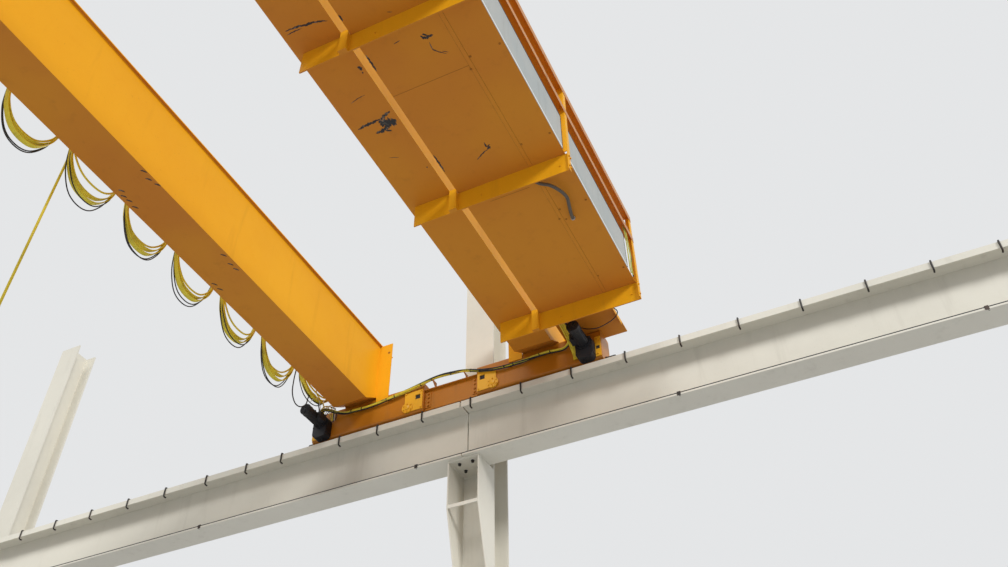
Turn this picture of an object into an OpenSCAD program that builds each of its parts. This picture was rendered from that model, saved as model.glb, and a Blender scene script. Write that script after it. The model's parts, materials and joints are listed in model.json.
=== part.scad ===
// Double girder overhead bridge crane on its runway, standing on six columns.
// +X runs along the runway, +Y along the bridge, +Z up. The origin is on the floor,
// in the middle of the plan.

/* [Bridge layout] */
// Length of one walkway bay
bay = 2010; // [1700:10:2300]
// Number of walkway bays
bays = 6; // [4:1:8]
// From the end of the walkway to the middle of the rail
walk_inset = 900; // [860:10:1000]
// Middle of one girder to the middle of the other
girder_pitch = 2538; // [2400:2:3000]
// Where the crane stands along the runway
crane_x = -195; // [-600:5:600]
// Middle between the girders from the middle of the trucks
girders_off = -42; // [-60:2:20]
// Underside of the girders above the floor
girder_z = 8900; // [8800:10:9000]
// How far the tops of the trucks stand above it
truck_rise = 150; // [130:5:180]

/* [Girders] */
// Width of the bottom flange
girder_w = 480; // [440:10:560]
// Overall depth
girder_h = 1000; // [900:10:1200]
// Flange thickness
flange_t = 14; // [10:1:20]
// Web thickness
web_t = 8; // [6:1:12]
// From the edge of the bottom flange to the web
web_inset = 12; // [8:1:40]
// How far the top flange reaches past the bottom one
top_flange_lip = 20; // [10:1:40]
// Length of the sloping stretch of the bottom flange
kink_l = 235; // [200:5:300]
// How far the girder ends past the middle of the rail
girder_over = 120; // [90:5:130]
// Width of the wide end stiffener past the web
ear_w = 190; // [120:5:240]
// Thickness of the wide end stiffener
ear_t = 12; // [8:1:20]
// How far the stiffener hangs below the top of the truck
ear_drop = 92; // [60:2:120]
// Width of the trolley rail
trolley_rail_w = 50; // [40:2:60]
// Height of the trolley rail
trolley_rail_h = 40; // [30:2:60]

/* [Walkway] */
// Flange of the girder to the walkway floor
walk_gap = 86; // [60:2:120]
// Width of the walkway floor
walk_w = 1155; // [900:5:1300]
// Floor underside above the girder underside
walk_rise = -40; // [-60:5:0]
// Thickness of the floor plate
floor_t = 8; // [5:1:12]
// How far the cross beams hang below the girder
beam_drop = 290; // [200:5:320]
// From the inner edge of the girder to the cross beams
beam_in = 70; // [40:5:100]
// Plate thickness of the cross beams
beam_t = 12; // [8:1:20]
// Width of the flat on each cross beam
flat_w = 80; // [40:1:84]
// How far the flat stands out from the beam
flat_d = 40; // [30:1:60]
// Height of the top rail above the girder underside
top_rail_z = 1005; // [900:5:1100]
// Height of the middle rail above the girder underside
mid_rail_z = 655; // [600:5:800]
// Width of the top rail
top_rail_w = 85; // [50:5:90]
// Width of the middle rail
mid_rail_w = 75; // [50:5:100]
// Depth of the folded lip of both rails
rail_lip = 35; // [20:1:50]
// Plate thickness of the rails
rail_plate_t = 5; // [4:1:8]
// Width of a post
post_w = 60; // [50:2:80]
// Plate thickness of a post
post_t = 8; // [6:1:12]
// How far the posts stand out past the floor
post_out = 36; // [20:2:60]
// Height of the side panels
panel_h = 515; // [400:5:550]
// Thickness of the side panels
panel_t = 4; // [3:1:8]
// Gap between a panel and the middle of the next post
panel_gap = 75; // [40:5:100]
// Open length beside the last post at each end
last_gap = 280; // [200:5:600]
// Width of the landing over the truck
landing_w = 730; // [500:10:800]
// How far the landing reaches over the truck from its near face
landing_over = 180; // [120:5:200]

/* [End trucks] */
// Half the length of a whole end carriage
carriage_half = 2000; // [1900:5:2300]
// Half the length of the tie beam
tie_half = 370; // [300:5:420]
// Width of a truck
truck_w = 280; // [250:5:300]
// Depth of a truck
truck_h = 420; // [380:5:450]
// Wall of a truck
truck_t = 12; // [8:1:16]
// Corner radius of a truck
truck_r = 32; // [20:1:40]
// Outer wheel to the outer end of the truck
outer_wheel_in = 180; // [175:5:220]
// Inner wheel to the inner end of the truck
inner_wheel_in = 220; // [200:5:260]
// Tread diameter of a wheel
wheel_d = 250; // [220:5:280]
// Width of the tread between the flanges
tread_w = 62; // [58:1:70]
// Thickness of a wheel flange
wheel_flange_t = 14; // [10:1:18]
// Height of a wheel flange
wheel_flange_h = 16; // [12:1:20]
// Hub diameter
hub_d = 120; // [100:5:140]
// Axle diameter
axle_d = 70; // [50:2:80]
// Play between the axle and its bore, on the radius
axle_play = 0.08; // [0.05:0.01:0.1]
// Gap between the wheel tread and the rail head
tread_gap = 0.3; // [0.2:0.1:0.5]
// Diameter of a bearing cap
cap_d = 150; // [130:5:170]
// Thickness of a bearing cap
cap_t = 22; // [14:1:30]
// Length of the bearing plate
pad_l = 250; // [240:5:300]
// Height of the bearing plate
pad_h = 290; // [260:5:320]
// Thickness of the bearing plate
pad_t = 14; // [8:1:20]
// Side of the square hole beside the bearing
square_hole = 70; // [50:5:80]
// Depth of the tie beam
tie_h = 290; // [240:5:330]
// Width of the tie beam
tie_w = 180; // [150:5:220]
// Wall of the tie beam
tie_t = 10; // [8:1:14]
// How far the ledge of the tie beam stands out on each side
tie_ledge = 38; // [20:1:45]
// Length of a buffer
buffer_l = 120; // [80:5:150]
// Diameter of a buffer
buffer_d = 80; // [60:5:90]

/* [Drives] */
// Width of a gear unit
gear_w = 200; // [150:5:230]
// Thickness of a gear unit
gear_t = 120; // [90:5:150]
// Height of a gear unit
gear_h = 300; // [260:5:340]
// Diameter of a motor
motor_d = 150; // [130:5:180]
// Length of a motor
motor_l = 340; // [260:5:380]
// Number of cooling ribs on a motor
motor_ribs = 16; // [8:1:24]
// Height of a cooling rib
rib_h = 8; // [6:1:12]
// Height of the motor axis above the axle
motor_rise = 90; // [60:5:110]

/* [Festoon] */
// Track to the outer edge of the girder
festoon_out = 196; // [150:2:240]
// Underside of the track above the girder underside
track_rise = 480; // [400:10:560]
// Side of the square track
track_w = 40; // [30:2:50]
// Wall of the track
track_t = 4; // [3:1:6]
// Slot along the underside of the track
track_slot = 16; // [12:1:20]
// Number of festoon carriers
carriers = 9; // [9:1:9]
// End of the girder to the end of the track
track_in = 200; // [100:10:300]
// Width of a track bracket
bracket_w = 60; // [40:2:80]

/* [Runway] */
// Column to column
col_pitch = 8200; // [7000:50:9200]
// How far the runway runs past the end columns
runway_over = 300; // [260:10:500]
// Top of the runway cap above the floor
cap_z = 8520; // [8480:1:8530]
// Depth of the runway beam below the cap
beam_h = 710; // [600:10:760]
// Width of the runway beam flanges
beam_w = 333; // [300:1:360]
// Thickness of the runway beam flanges
beam_flange_t = 22; // [16:1:30]
// Thickness of the runway beam web
beam_web_t = 16; // [12:1:20]
// Width of the cap channel
cap_w = 457; // [440:1:480]
// Height of the cap channel
cap_h = 84; // [80:2:110]
// Thickness of the cap channel
cap_t2 = 12; // [10:1:16]
// Gap between two runway beams over a column
beam_gap = 16; // [10:1:30]
// Height of the crane rail
rail_h = 80; // [70:1:90]
// Width of the rail head
rail_head_w = 50; // [40:1:54]
// Width of the rail foot
rail_foot_w = 90; // [80:1:110]
// Face of the end stop to the end of the runway
stop_in = 200; // [160:10:300]
// Thickness of the end stop plate
stop_t = 20; // [16:1:30]
// Width of the end stop
stop_w = 200; // [160:5:240]
// How far the end stop reaches above the axles
stop_over = 150; // [100:10:200]

/* [Columns] */
// Height of a column
col_h = 12700; // [11000:50:13000]
// Width of a column
col_w = 400; // [380:5:420]
// Depth of a column
col_d = 400; // [360:5:450]
// Thickness of the column flanges
col_flange_t = 24; // [16:1:30]
// Thickness of the column web
col_web_t = 16; // [10:1:20]
// Column face to the middle of the rail
col_back = 270; // [250:5:320]
// Bracket front to the middle of the rail
seat_front = 120; // [100:5:160]
// Thickness of the seat plate
seat_t = 25; // [16:1:30]
// Thickness of the bracket sides
side_t = 14; // [10:1:20]
// Upright depth of the bracket
bracket_h = 600; // [500:10:700]
// Length of the taper below it
taper_h = 1350; // [1000:10:1600]
// Bracket front to its cross plate
cross_in = 60; // [40:5:120]
// Side of a base plate
base_w = 620; // [580:10:700]
// Thickness of a base plate
base_t = 40; // [30:1:50]
// Distance between two anchor holes
anchor_pitch = 520; // [500:5:560]
// Diameter of an anchor hole
anchor_d = 40; // [30:1:46]

/* [Pendant] */
// Height of the pendant station above the floor
pendant_z = 1000; // [900:10:1200]
// Height of the pendant station
pendant_h = 420; // [350:10:480]
// Width of the pendant station
pendant_w = 90; // [70:2:110]
// Thickness of the pendant station
pendant_t = 70; // [60:2:90]

/* [Hidden] */

yellow = "orange";
cream = "antiquewhite";

walk_l = bays * bay;
span = walk_l + 2 * walk_inset;
rail_y = span / 2;

// Levels
cap_low_z = cap_z - cap_t2;
seat_z = cap_low_z - beam_h;
rail_z = cap_z + rail_h;
axle_z = rail_z + wheel_d / 2 + tread_gap;
truck_top_z = girder_z + truck_rise;
truck_z = truck_top_z - truck_h;
girder_top_z = girder_z + girder_h;

// Girder section
web_x = girder_w / 2 - web_inset;
kink_y = rail_y - truck_w / 2 - kink_l;
girder_end_y = rail_y + girder_over;
end_plate_t = 10;

// Walkway
right_x = crane_x + girders_off + girder_pitch / 2;
left_x = crane_x + girders_off - girder_pitch / 2;
walk_x0 = right_x + girder_w / 2 + walk_gap;
walk_x1 = walk_x0 + walk_w;
floor_z = girder_z + walk_rise;
rail_x = walk_x1 + post_out - post_t;
post_top_z = girder_z + top_rail_z;

// Wheels, counted from the left end of the far carriage and then of the near one
wheel_xs = [-carriage_half + outer_wheel_in, -tie_half - inner_wheel_in,
            tie_half + inner_wheel_in, carriage_half - outer_wheel_in];
wheel_r = wheel_d / 2;
wheel_slack = 6;
well_l = wheel_d + 2 * wheel_flange_h + 24;
well_w = tread_w + 2 * wheel_flange_t + 24;

// Runway
runway_half = col_pitch + runway_over;
col_y = rail_y + col_back;
stop_x = runway_half - stop_in;

// Festoon
track_x = left_x - girder_w / 2 - festoon_out;
track_z = girder_z + track_rise;
festoon_y0 = 6760;
festoon_pitch = 800;
carrier_z = 9240;
saddle_r = 34;
saddle_w = 70;
bundle_d = 60;
bundle_top = 71;
// One hanging loop from a carrier to the next, along the track and up, and the
// shallow first one over the drive
loop_points = [[0, 71], [-50, 50], [-74, -10], [-130, -250], [-250, -430], [-400, -480],
               [-550, -430], [-670, -250], [-726, -10], [-750, 50]];
first_points = [[0, 71], [-50, 50], [-74, -10], [-130, -130], [-250, -230], [-400, -260],
                [-550, -230], [-670, -130], [-726, -10], [-750, 50]];

module rounded(w, h, r) {
  // Rectangle with round corners, centred
  square([w - 2 * r, h], center = true);
  square([w, h - 2 * r], center = true);
  for (x = [-1, 1], y = [-1, 1]) {
    translate([x * (w / 2 - r), y * (h / 2 - r)]) circle(r = r, $fn = 48);
  }
}

module along_x(l) {
  // Carries a drawing with its first axis on Y and its second on Z along X
  rotate([90, 0, 90]) linear_extrude(l) children();
}

module along_y(l) {
  // Carries a drawing with its first axis on X and its second on Z along -Y
  rotate([90, 0, 0]) linear_extrude(l) children();
}

module both_ends() {
  // The far end as drawn and the near end as its mirror image
  children();
  mirror([0, 1, 0]) children();
}

module i_section(w, h, ft, wt) {
  // Two flanges and a web, standing on the first axis
  translate([-w / 2, 0]) square([w, ft]);
  translate([-w / 2, h - ft]) square([w, ft]);
  translate([-wt / 2, 0]) square([wt, h]);
}

module column_row() {
  for (k = [-1, 0, 1]) {
    translate([k * col_pitch, col_y, base_t]) linear_extrude(col_h - base_t)
      i_section(col_w, col_d, col_flange_t, col_web_t);
  }
}

module columns_far() {
  color(cream) column_row();
}

module columns_near() {
  color(cream) mirror([0, 1, 0]) column_row();
}

module base_plates() {
  color(cream) both_ends() for (k = [-1, 0, 1]) {
    translate([k * col_pitch, col_y + col_d / 2, 0]) difference() {
      translate([-base_w / 2, -base_w / 2, 0]) cube([base_w, base_w, base_t]);
      for (x = [-1, 1], y = [-1, 1]) {
        translate([x * anchor_pitch / 2, y * anchor_pitch / 2, -1])
          cylinder(d = anchor_d, h = base_t + 2, $fn = 32);
      }
    }
  }
}

module bracket_row() {
  front = rail_y - seat_front;
  top = seat_z - seat_t;
  for (k = [-1, 0, 1]) translate([k * col_pitch, 0, 0]) {
    translate([-col_w / 2, front, top]) cube([col_w, col_y - front, seat_t]);
    for (x = [-col_w / 2, col_w / 2 - side_t]) {
      translate([x, 0, 0]) along_x(side_t)
        polygon([[front, top], [front, top - bracket_h], [col_y, top - bracket_h - taper_h],
                 [col_y, top]]);
    }
    translate([-col_w / 2, front, top - bracket_h]) cube([col_w, col_y - front, side_t]);
    translate([-col_w / 2, front + cross_in, top - bracket_h]) cube([col_w, side_t, bracket_h]);
  }
}

module brackets_far() {
  color(cream) bracket_row();
}

module brackets_near() {
  color(cream) mirror([0, 1, 0]) bracket_row();
}

module runway_beam() {
  for (s = [0, 1]) mirror([s, 0, 0]) {
    translate([beam_gap / 2, rail_y, seat_z]) along_x(runway_half - beam_gap / 2)
      i_section(beam_w, beam_h, beam_flange_t, beam_web_t);
  }
}

module runway_beam_far() {
  color(cream) runway_beam();
}

module runway_beam_near() {
  color(cream) mirror([0, 1, 0]) runway_beam();
}

module runway_cap() {
  for (s = [0, 1]) mirror([s, 0, 0]) {
    translate([beam_gap / 2, rail_y, cap_z - cap_h]) along_x(runway_half - beam_gap / 2)
      difference() {
        translate([-cap_w / 2, 0]) square([cap_w, cap_h]);
        translate([-cap_w / 2 + cap_t2, -1]) square([cap_w - 2 * cap_t2, cap_h - cap_t2 + 1]);
      }
  }
}

module runway_cap_far() {
  color(cream) runway_cap();
}

module runway_cap_near() {
  color(cream) mirror([0, 1, 0]) runway_cap();
}

module rail_section() {
  // Foot, web and head of a flat bottomed rail
  foot_t = 12;
  head_t = 24;
  neck_t = 12;
  polygon([[-rail_foot_w / 2, 0], [rail_foot_w / 2, 0], [rail_foot_w / 2, foot_t / 2],
           [neck_t / 2, foot_t + 8], [neck_t / 2, rail_h - head_t - 6],
           [rail_head_w / 2, rail_h - head_t], [rail_head_w / 2, rail_h - 4],
           [rail_head_w / 2 - 4, rail_h], [-rail_head_w / 2 + 4, rail_h],
           [-rail_head_w / 2, rail_h - 4], [-rail_head_w / 2, rail_h - head_t],
           [-neck_t / 2, rail_h - head_t - 6], [-neck_t / 2, foot_t + 8],
           [-rail_foot_w / 2, foot_t / 2]]);
}

module crane_rails() {
  color("dimgray") both_ends()
    translate([-stop_x, rail_y, cap_z]) along_x(2 * stop_x) rail_section();
}

module tie_backs() {
  w = 160;
  t = 14;
  color(cream) both_ends() for (k = [-1, 0, 1], s = [-1, 1]) {
    translate([k * col_pitch + s * 110 - w / 4, rail_y + cap_w / 2 - 60, cap_z])
      cube([w / 2, col_y - rail_y - cap_w / 2 + 60, t]);
  }
}

module end_stops() {
  up = axle_z + stop_over - cap_z;
  foot = stop_in - 20;
  color(cream) both_ends() for (s = [0, 1]) mirror([s, 0, 0]) translate([stop_x, rail_y, cap_z]) {
    translate([0, -stop_w / 2, 0]) cube([stop_t, stop_w, up]);
    translate([0, -stop_w / 2, 0]) cube([foot, stop_w, stop_t]);
    for (y = [-stop_w / 2 + stop_t, stop_w / 2 - 2 * stop_t]) {
      translate([stop_t, y + stop_t, stop_t]) along_y(stop_t)
        polygon([[0, 0], [foot - stop_t, 0], [0, up - stop_t]]);
    }
  }
}

module web_outline() {
  // Side view of a web between the flanges, with its bottom edge raised at the ends
  low = girder_z + flange_t;
  raised = truck_top_z + flange_t;
  polygon([[-kink_y, low], [kink_y, low], [kink_y + kink_l, raised], [girder_end_y, raised],
           [girder_end_y, girder_top_z - flange_t], [-girder_end_y, girder_top_z - flange_t],
           [-girder_end_y, raised], [-kink_y - kink_l, raised]]);
}

module flange_outline() {
  // Side view of the bottom flange, which follows the raised ends
  polygon([[-kink_y, girder_z], [kink_y, girder_z], [kink_y + kink_l, truck_top_z],
           [girder_end_y, truck_top_z], [girder_end_y, truck_top_z + flange_t],
           [kink_y + kink_l, truck_top_z + flange_t], [kink_y, girder_z + flange_t],
           [-kink_y, girder_z + flange_t], [-kink_y - kink_l, truck_top_z + flange_t],
           [-girder_end_y, truck_top_z + flange_t], [-girder_end_y, truck_top_z],
           [-kink_y - kink_l, truck_top_z]]);
}

module girder(x) {
  // Box of two webs and two flanges, open at both ends
  top_w = girder_w + 2 * top_flange_lip;
  translate([x, 0, 0]) {
    translate([-girder_w / 2, 0, 0]) along_x(girder_w) flange_outline();
    translate([-web_x, 0, 0]) along_x(web_t) web_outline();
    translate([web_x - web_t, 0, 0]) along_x(web_t) web_outline();
    translate([-top_w / 2, -girder_end_y, girder_top_z - flange_t])
      cube([top_w, 2 * girder_end_y, flange_t]);
  }
}

module left_girder() {
  color(yellow) girder(left_x);
}

module right_girder() {
  color(yellow) girder(right_x);
}

module girder_end_plates() {
  // Plates that close the ends of both girders
  low = truck_top_z;
  color(yellow) both_ends() for (x = [left_x, right_x]) {
    translate([x - girder_w / 2, girder_end_y, low])
      cube([girder_w, end_plate_t, girder_top_z - low]);
  }
}

module end_stiffeners() {
  // Wide plates between each girder and the inner face of its truck
  low = truck_top_z - ear_drop;
  high = girder_top_z - flange_t;
  y = rail_y - truck_w / 2 - ear_t;
  color(yellow) both_ends() {
    translate([left_x + web_x, y, truck_top_z + flange_t])
      cube([ear_w, ear_t, high - truck_top_z - flange_t]);
    translate([left_x + girder_w / 2, y, low])
      cube([web_x + ear_w - girder_w / 2, ear_t, truck_top_z + flange_t - low]);
    translate([right_x - web_x - ear_w, y, truck_top_z + flange_t])
      cube([ear_w, ear_t, high - truck_top_z - flange_t]);
    translate([right_x - web_x - ear_w, y, low])
      cube([web_x + ear_w - girder_w / 2, ear_t, truck_top_z + flange_t - low]);
  }
}

module trolley_rails() {
  l = girder_end_y - 150;
  color("dimgray") for (x = [left_x, right_x]) {
    translate([x - trolley_rail_w / 2, -l, girder_top_z]) cube([trolley_rail_w, 2 * l, trolley_rail_h]);
  }
}

module walkway_floor() {
  // One plate a bay, with a seam over each cross beam
  seam = 3;
  color(yellow) for (k = [0 : bays - 1]) {
    translate([walk_x0, -walk_l / 2 + k * bay + seam / 2, floor_z])
      cube([walk_w, bay - seam, floor_t]);
  }
}

module walkway_beams() {
  // Plates under girder and floor, the first and last closing the walkway,
  // each with an upright flat beside the flange of the right girder
  flat_off = 3;
  low = girder_z - beam_drop;
  color(yellow) for (k = [0 : bays]) {
    y = -walk_l / 2 + k * bay - beam_t / 2;
    at = k == 0 ? y + beam_t / 2 : k == bays ? y - beam_t / 2 : y;
    translate([0, at + beam_t, 0]) along_y(beam_t)
      polygon([[right_x - girder_w / 2 + beam_in, low], [rail_x, low], [rail_x, floor_z],
               [right_x + girder_w / 2, floor_z], [right_x + girder_w / 2, girder_z],
               [right_x - girder_w / 2 + beam_in, girder_z]]);
    translate([right_x + girder_w / 2 + flat_off, 2 * k < bays ? at + beam_t : at - flat_d, low])
      cube([flat_w, flat_d, beam_drop]);
  }
}

module rail_bar(w, z) {
  // Folded bar against the posts, with a lip on its outer edge
  translate([rail_x - w, -walk_l / 2, z - rail_plate_t]) cube([w, walk_l, rail_plate_t]);
  translate([rail_x - rail_plate_t, -walk_l / 2, z - rail_lip]) cube([rail_plate_t, walk_l, rail_lip]);
}

module rail_bars() {
  rail_bar(top_rail_w, post_top_z);
  rail_bar(mid_rail_w, girder_z + mid_rail_z);
}

module rail_posts() {
  // Angle posts notched for the rails, one on each cross beam, with the outer leg
  // running down its end
  low = girder_z - beam_drop;
  color(yellow) difference() {
    for (k = [0 : bays]) {
      mid = -walk_l / 2 + k * bay;
      y = k == 0 ? mid : k == bays ? mid - post_w : mid - post_w / 2;
      translate([rail_x, y, low]) cube([post_t, post_w, post_top_z - low]);
      translate([rail_x + post_t - post_w, k == bays ? y + post_w - post_t : y, floor_z + floor_t])
        cube([post_w - post_t, post_t, post_top_z - rail_plate_t - floor_z - floor_t]);
    }
    rail_bars();
  }
}

module hand_rails() {
  color(yellow) rail_bars();
}

module side_panels() {
  // Bare panels above the floor edge, between the posts
  color("white") for (k = [0 : bays - 1]) {
    y0 = -walk_l / 2 + k * bay + (k == 0 ? last_gap : panel_gap);
    y1 = -walk_l / 2 + (k + 1) * bay - (k == bays - 1 ? last_gap : panel_gap);
    translate([walk_x1, y0, floor_z]) cube([panel_t, y1 - y0, panel_h]);
  }
}

module landings() {
  // Plate from the walkway end over the truck, carried by an upright on the end plate
  y0 = walk_l / 2;
  y1 = rail_y - truck_w / 2 + landing_over;
  color(yellow) both_ends() {
    translate([walk_x0, y0 - beam_t, truck_top_z]) cube([landing_w, y1 - y0 + beam_t, floor_t]);
    translate([walk_x0, y0 - beam_t, floor_z + floor_t])
      cube([landing_w, beam_t, truck_top_z - floor_z - floor_t]);
    translate([walk_x0 + landing_w - floor_t, y0 + 10, truck_top_z - 50])
      cube([floor_t, rail_y - truck_w / 2 - y0 - 30, 50]);
  }
}

module truck(x0, l) {
  // Round cornered box with wheel wells below, axle bores and closed ends
  translate([x0, rail_y, truck_z + truck_h / 2]) difference() {
    along_x(l) rounded(truck_w, truck_h, truck_r);
    translate([truck_t, 0, 0]) along_x(l - 2 * truck_t)
      rounded(truck_w - 2 * truck_t, truck_h - 2 * truck_t, truck_r - truck_t);
    for (x = wheel_xs) if (x > x0 - crane_x && x < x0 - crane_x + l) {
      translate([crane_x + x - x0, 0, 0]) {
        translate([-well_l / 2, -well_w / 2, -truck_h / 2 - 1]) cube([well_l, well_w, truck_t + 2]);
        translate([0, truck_w / 2 + 1, axle_z - truck_z - truck_h / 2]) rotate([90, 0, 0])
          cylinder(d = axle_d + 2 * axle_play, h = truck_w + 2, $fn = 48);
      }
    }
  }
}

module truck_pair() {
  truck_l = carriage_half - tie_half;
  truck(crane_x - carriage_half, truck_l);
  truck(crane_x + tie_half, truck_l);
  for (p = cable_lugs) {
    translate([crane_x + cable_x(p[0]) - lug_h / 2, rail_y - truck_w / 2 - lug_t, p[1] - lug_h / 2])
      cube([lug_h, lug_t, lug_h]);
  }
}

module trucks_far() {
  color(yellow) truck_pair();
}

module trucks_near() {
  color(yellow) mirror([0, 1, 0]) truck_pair();
}

module tie_beams() {
  // Hollow beam bolted between the two trucks, with a ledge on top
  low = truck_z + 20;
  color(yellow) both_ends() translate([crane_x - tie_half, rail_y, low]) {
    along_x(2 * tie_half) difference() {
      translate([-tie_w / 2, 0]) square([tie_w, tie_h]);
      translate([-tie_w / 2 + tie_t, tie_t]) square([tie_w - 2 * tie_t, tie_h - 2 * tie_t]);
    }
    translate([0, -tie_w / 2 - tie_ledge, tie_h]) cube([2 * tie_half, tie_w + 2 * tie_ledge, tie_t]);
    edge = -tie_w / 2 - tie_ledge;
    tip = -truck_w / 2 + cable_off - truck_cable_d / 2;
    for (p = cable_posts) translate([tie_half + p[0] - 5, 0, 0]) along_x(10) {
      up = p[1] - truck_cable_d / 2 - cable_play - low;
      polygon([[edge + 30, tie_h + tie_t], [edge, tie_h + tie_t], [tip, up - 12], [tip, up],
               [edge + 30, up]]);
    }
  }
}

module bearing_plates() {
  // Plate round each inner axle on the near face of the truck, with a square hole beside it
  y = rail_y - truck_w / 2;
  color("gold") both_ends() for (s = [0, 1]) translate([crane_x, 0, 0]) mirror([s, 0, 0]) {
    translate([tie_half + 14, y, truck_z + truck_r]) along_y(pad_t) difference() {
      square([pad_l, pad_h]);
      translate([30, pad_h - square_hole - 60]) square(square_hole);
      translate([inner_wheel_in - 14, axle_z - truck_z - truck_r]) circle(d = cap_d + 2, $fn = 48);
    }
  }
}

module bearing_caps() {
  // Round caps over both ends of every axle, except where a gear unit sits
  z = axle_z;
  color("darkorange") both_ends() translate([crane_x, rail_y, z]) for (x = wheel_xs) {
    translate([x, truck_w / 2 + cap_t, 0]) rotate([90, 0, 0]) cylinder(d = cap_d, h = cap_t, $fn = 48);
    if (abs(x) < carriage_half / 2) {
      translate([x, -truck_w / 2, 0]) rotate([90, 0, 0]) cylinder(d = cap_d, h = cap_t, $fn = 48);
    }
  }
}

module gear_units() {
  // Shaft mounted gear units on the outer axles, on the inner face of the trucks
  color("dimgray") both_ends() for (s = [0, 1]) translate([crane_x, 0, 0]) mirror([s, 0, 0]) {
    x = carriage_half - outer_wheel_in;
    z0 = axle_z - gear_w / 2 - 20;
    translate([x, rail_y - truck_w / 2, z0 + gear_h / 2]) along_y(gear_t)
      rounded(gear_w, gear_h, 60);
  }
}

module drive_motors() {
  // Ribbed motor with a fan cover and a terminal box
  x = carriage_half - outer_wheel_in;
  y = rail_y - truck_w / 2 - gear_t;
  cover_l = 70;
  color("black") both_ends() for (s = [0, 1]) translate([crane_x, 0, 0]) mirror([s, 0, 0]) {
    translate([x, y, axle_z + motor_rise]) rotate([90, 0, 0]) {
      cylinder(d = motor_d + 20, h = 16, $fn = 48);
      cylinder(d = motor_d - 2 * rib_h, h = motor_l - cover_l, $fn = 48);
      for (a = [0 : 360 / motor_ribs : 359]) rotate(a)
        translate([0, -2, 0]) cube([motor_d / 2 - 3, 4, motor_l - cover_l]);
      translate([0, 0, motor_l - cover_l]) cylinder(d = motor_d, h = cover_l, $fn = 48);
      translate([-motor_d / 2 - 30, -50, 50]) cube([60, 100, 110]);
    }
  }
}

module buffers() {
  z = axle_z - 50;
  color("black") both_ends() for (s = [0, 1]) translate([crane_x, 0, 0]) mirror([s, 0, 0]) {
    translate([carriage_half, rail_y, z]) rotate([0, 90, 0]) {
      cylinder(d = buffer_d + 10, h = 15, $fn = 48);
      cylinder(d = buffer_d, h = buffer_l, $fn = 48);
    }
  }
}

module festoon_track() {
  // Slotted square track on brackets from the left girder
  l = girder_end_y - track_in;
  reach = left_x - web_x - track_x;
  color("silver") {
    translate([track_x, l, track_z + track_w / 2]) along_y(2 * l) difference() {
      square(track_w, center = true);
      square(track_w - 2 * track_t, center = true);
      translate([0, -track_w / 2]) square([track_slot, 2 * track_t + 2], center = true);
    }
    for (k = [0 : bays]) translate([track_x - track_w / 2, -walk_l / 2 + k * bay, track_z + track_w])
      cube([reach + track_w / 2, bracket_w, 8]);
  }
}

module track_runner(stem_low) {
  // Block that runs in the track, with a stem through the slot
  translate([-4, -15, stem_low]) cube([8, 30, track_z - stem_low + track_t + 0.3]);
  translate([-12, -30, track_z + track_t + 0.3]) cube([24, 60, 20]);
}

module festoon_carriers() {
  // Carriers with a saddle below the cables and a bar above, and a hook for the pendant
  bar_z = bundle_top + bundle_d / 2 + 0.3;
  cheek_t = 4;
  cheek_w = 44;
  color("gray") for (k = [0 : carriers - 1]) {
    translate([track_x, festoon_y0 - k * festoon_pitch, carrier_z]) {
      translate([-saddle_w / 2, 0, 0]) rotate([0, 90, 0]) cylinder(r = saddle_r, h = saddle_w, $fn = 32);
      for (x = [-saddle_w / 2 - cheek_t, saddle_w / 2])
        translate([x, -cheek_w / 2, -20]) cube([cheek_t, cheek_w, bar_z + 28]);
      translate([-saddle_w / 2, -cheek_w / 2, bar_z]) cube([saddle_w, cheek_w, 8]);
    }
    translate([track_x, festoon_y0 - k * festoon_pitch, 0]) track_runner(carrier_z + bar_z);
  }
  hook_z = pendant_top_z + 0.3;
  color("gray") translate([track_x, pendant_y, 0]) {
    track_runner(hook_z);
    translate([pendant_x - track_x - 16, -15, hook_z]) cube([track_x - pendant_x + 16, 30, 12]);
  }
}

function unit(v) = v / norm(v);

// A ring of points round each point of a route, square to the way the route runs there
function ring(p, dir, side, r, n) =
  let (u = unit(side - (side * dir) * dir), w = cross(dir, u))
  [for (i = [0 : n - 1]) p + r * (cos(360 * i / n) * u + sin(360 * i / n) * w)];

function heading(route, i) =
  unit(route[min(i + 1, len(route) - 1)] - route[max(i - 1, 0)]);

// Round tube along a route: rings joined by quads, with a flat fan at each end
module tube(route, d, n, side) {
  m = len(route);
  points = [for (i = [0 : m - 1]) each ring(route[i], heading(route, i), side, d / 2, n)];
  skin = [for (i = [0 : m - 2], j = [0 : n - 1])
    [i * n + j, i * n + (j + 1) % n, (i + 1) * n + (j + 1) % n, (i + 1) * n + j]];
  first = [for (j = [0 : n - 1]) n - 1 - j];
  last = [for (j = [0 : n - 1]) (m - 1) * n + j];
  polyhedron(points = points, faces = concat([first], skin, [last]), convexity = 10);
}

festoon_route = [
  for (k = [0 : carriers - 2], p = k == 0 ? first_points : loop_points)
    [track_x, festoon_y0 - k * festoon_pitch + p[0], carrier_z + p[1]],
  [track_x, festoon_y0 - (carriers - 1) * festoon_pitch, carrier_z + loop_points[0][1]]];

// Cable bundle along a carriage: place from the middle, from the truck face, and height
truck_cable_d = 44;
lug_t = 16;
lug_h = 40;
cable_lugs = [[-1380, 8918], [-860, 8938], [820, 8890], [1400, 8903]];
cable_posts = [[-220, 9044], [220, 9015]];
cable_off = -lug_t - truck_cable_d / 2 - 0.3;
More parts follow.
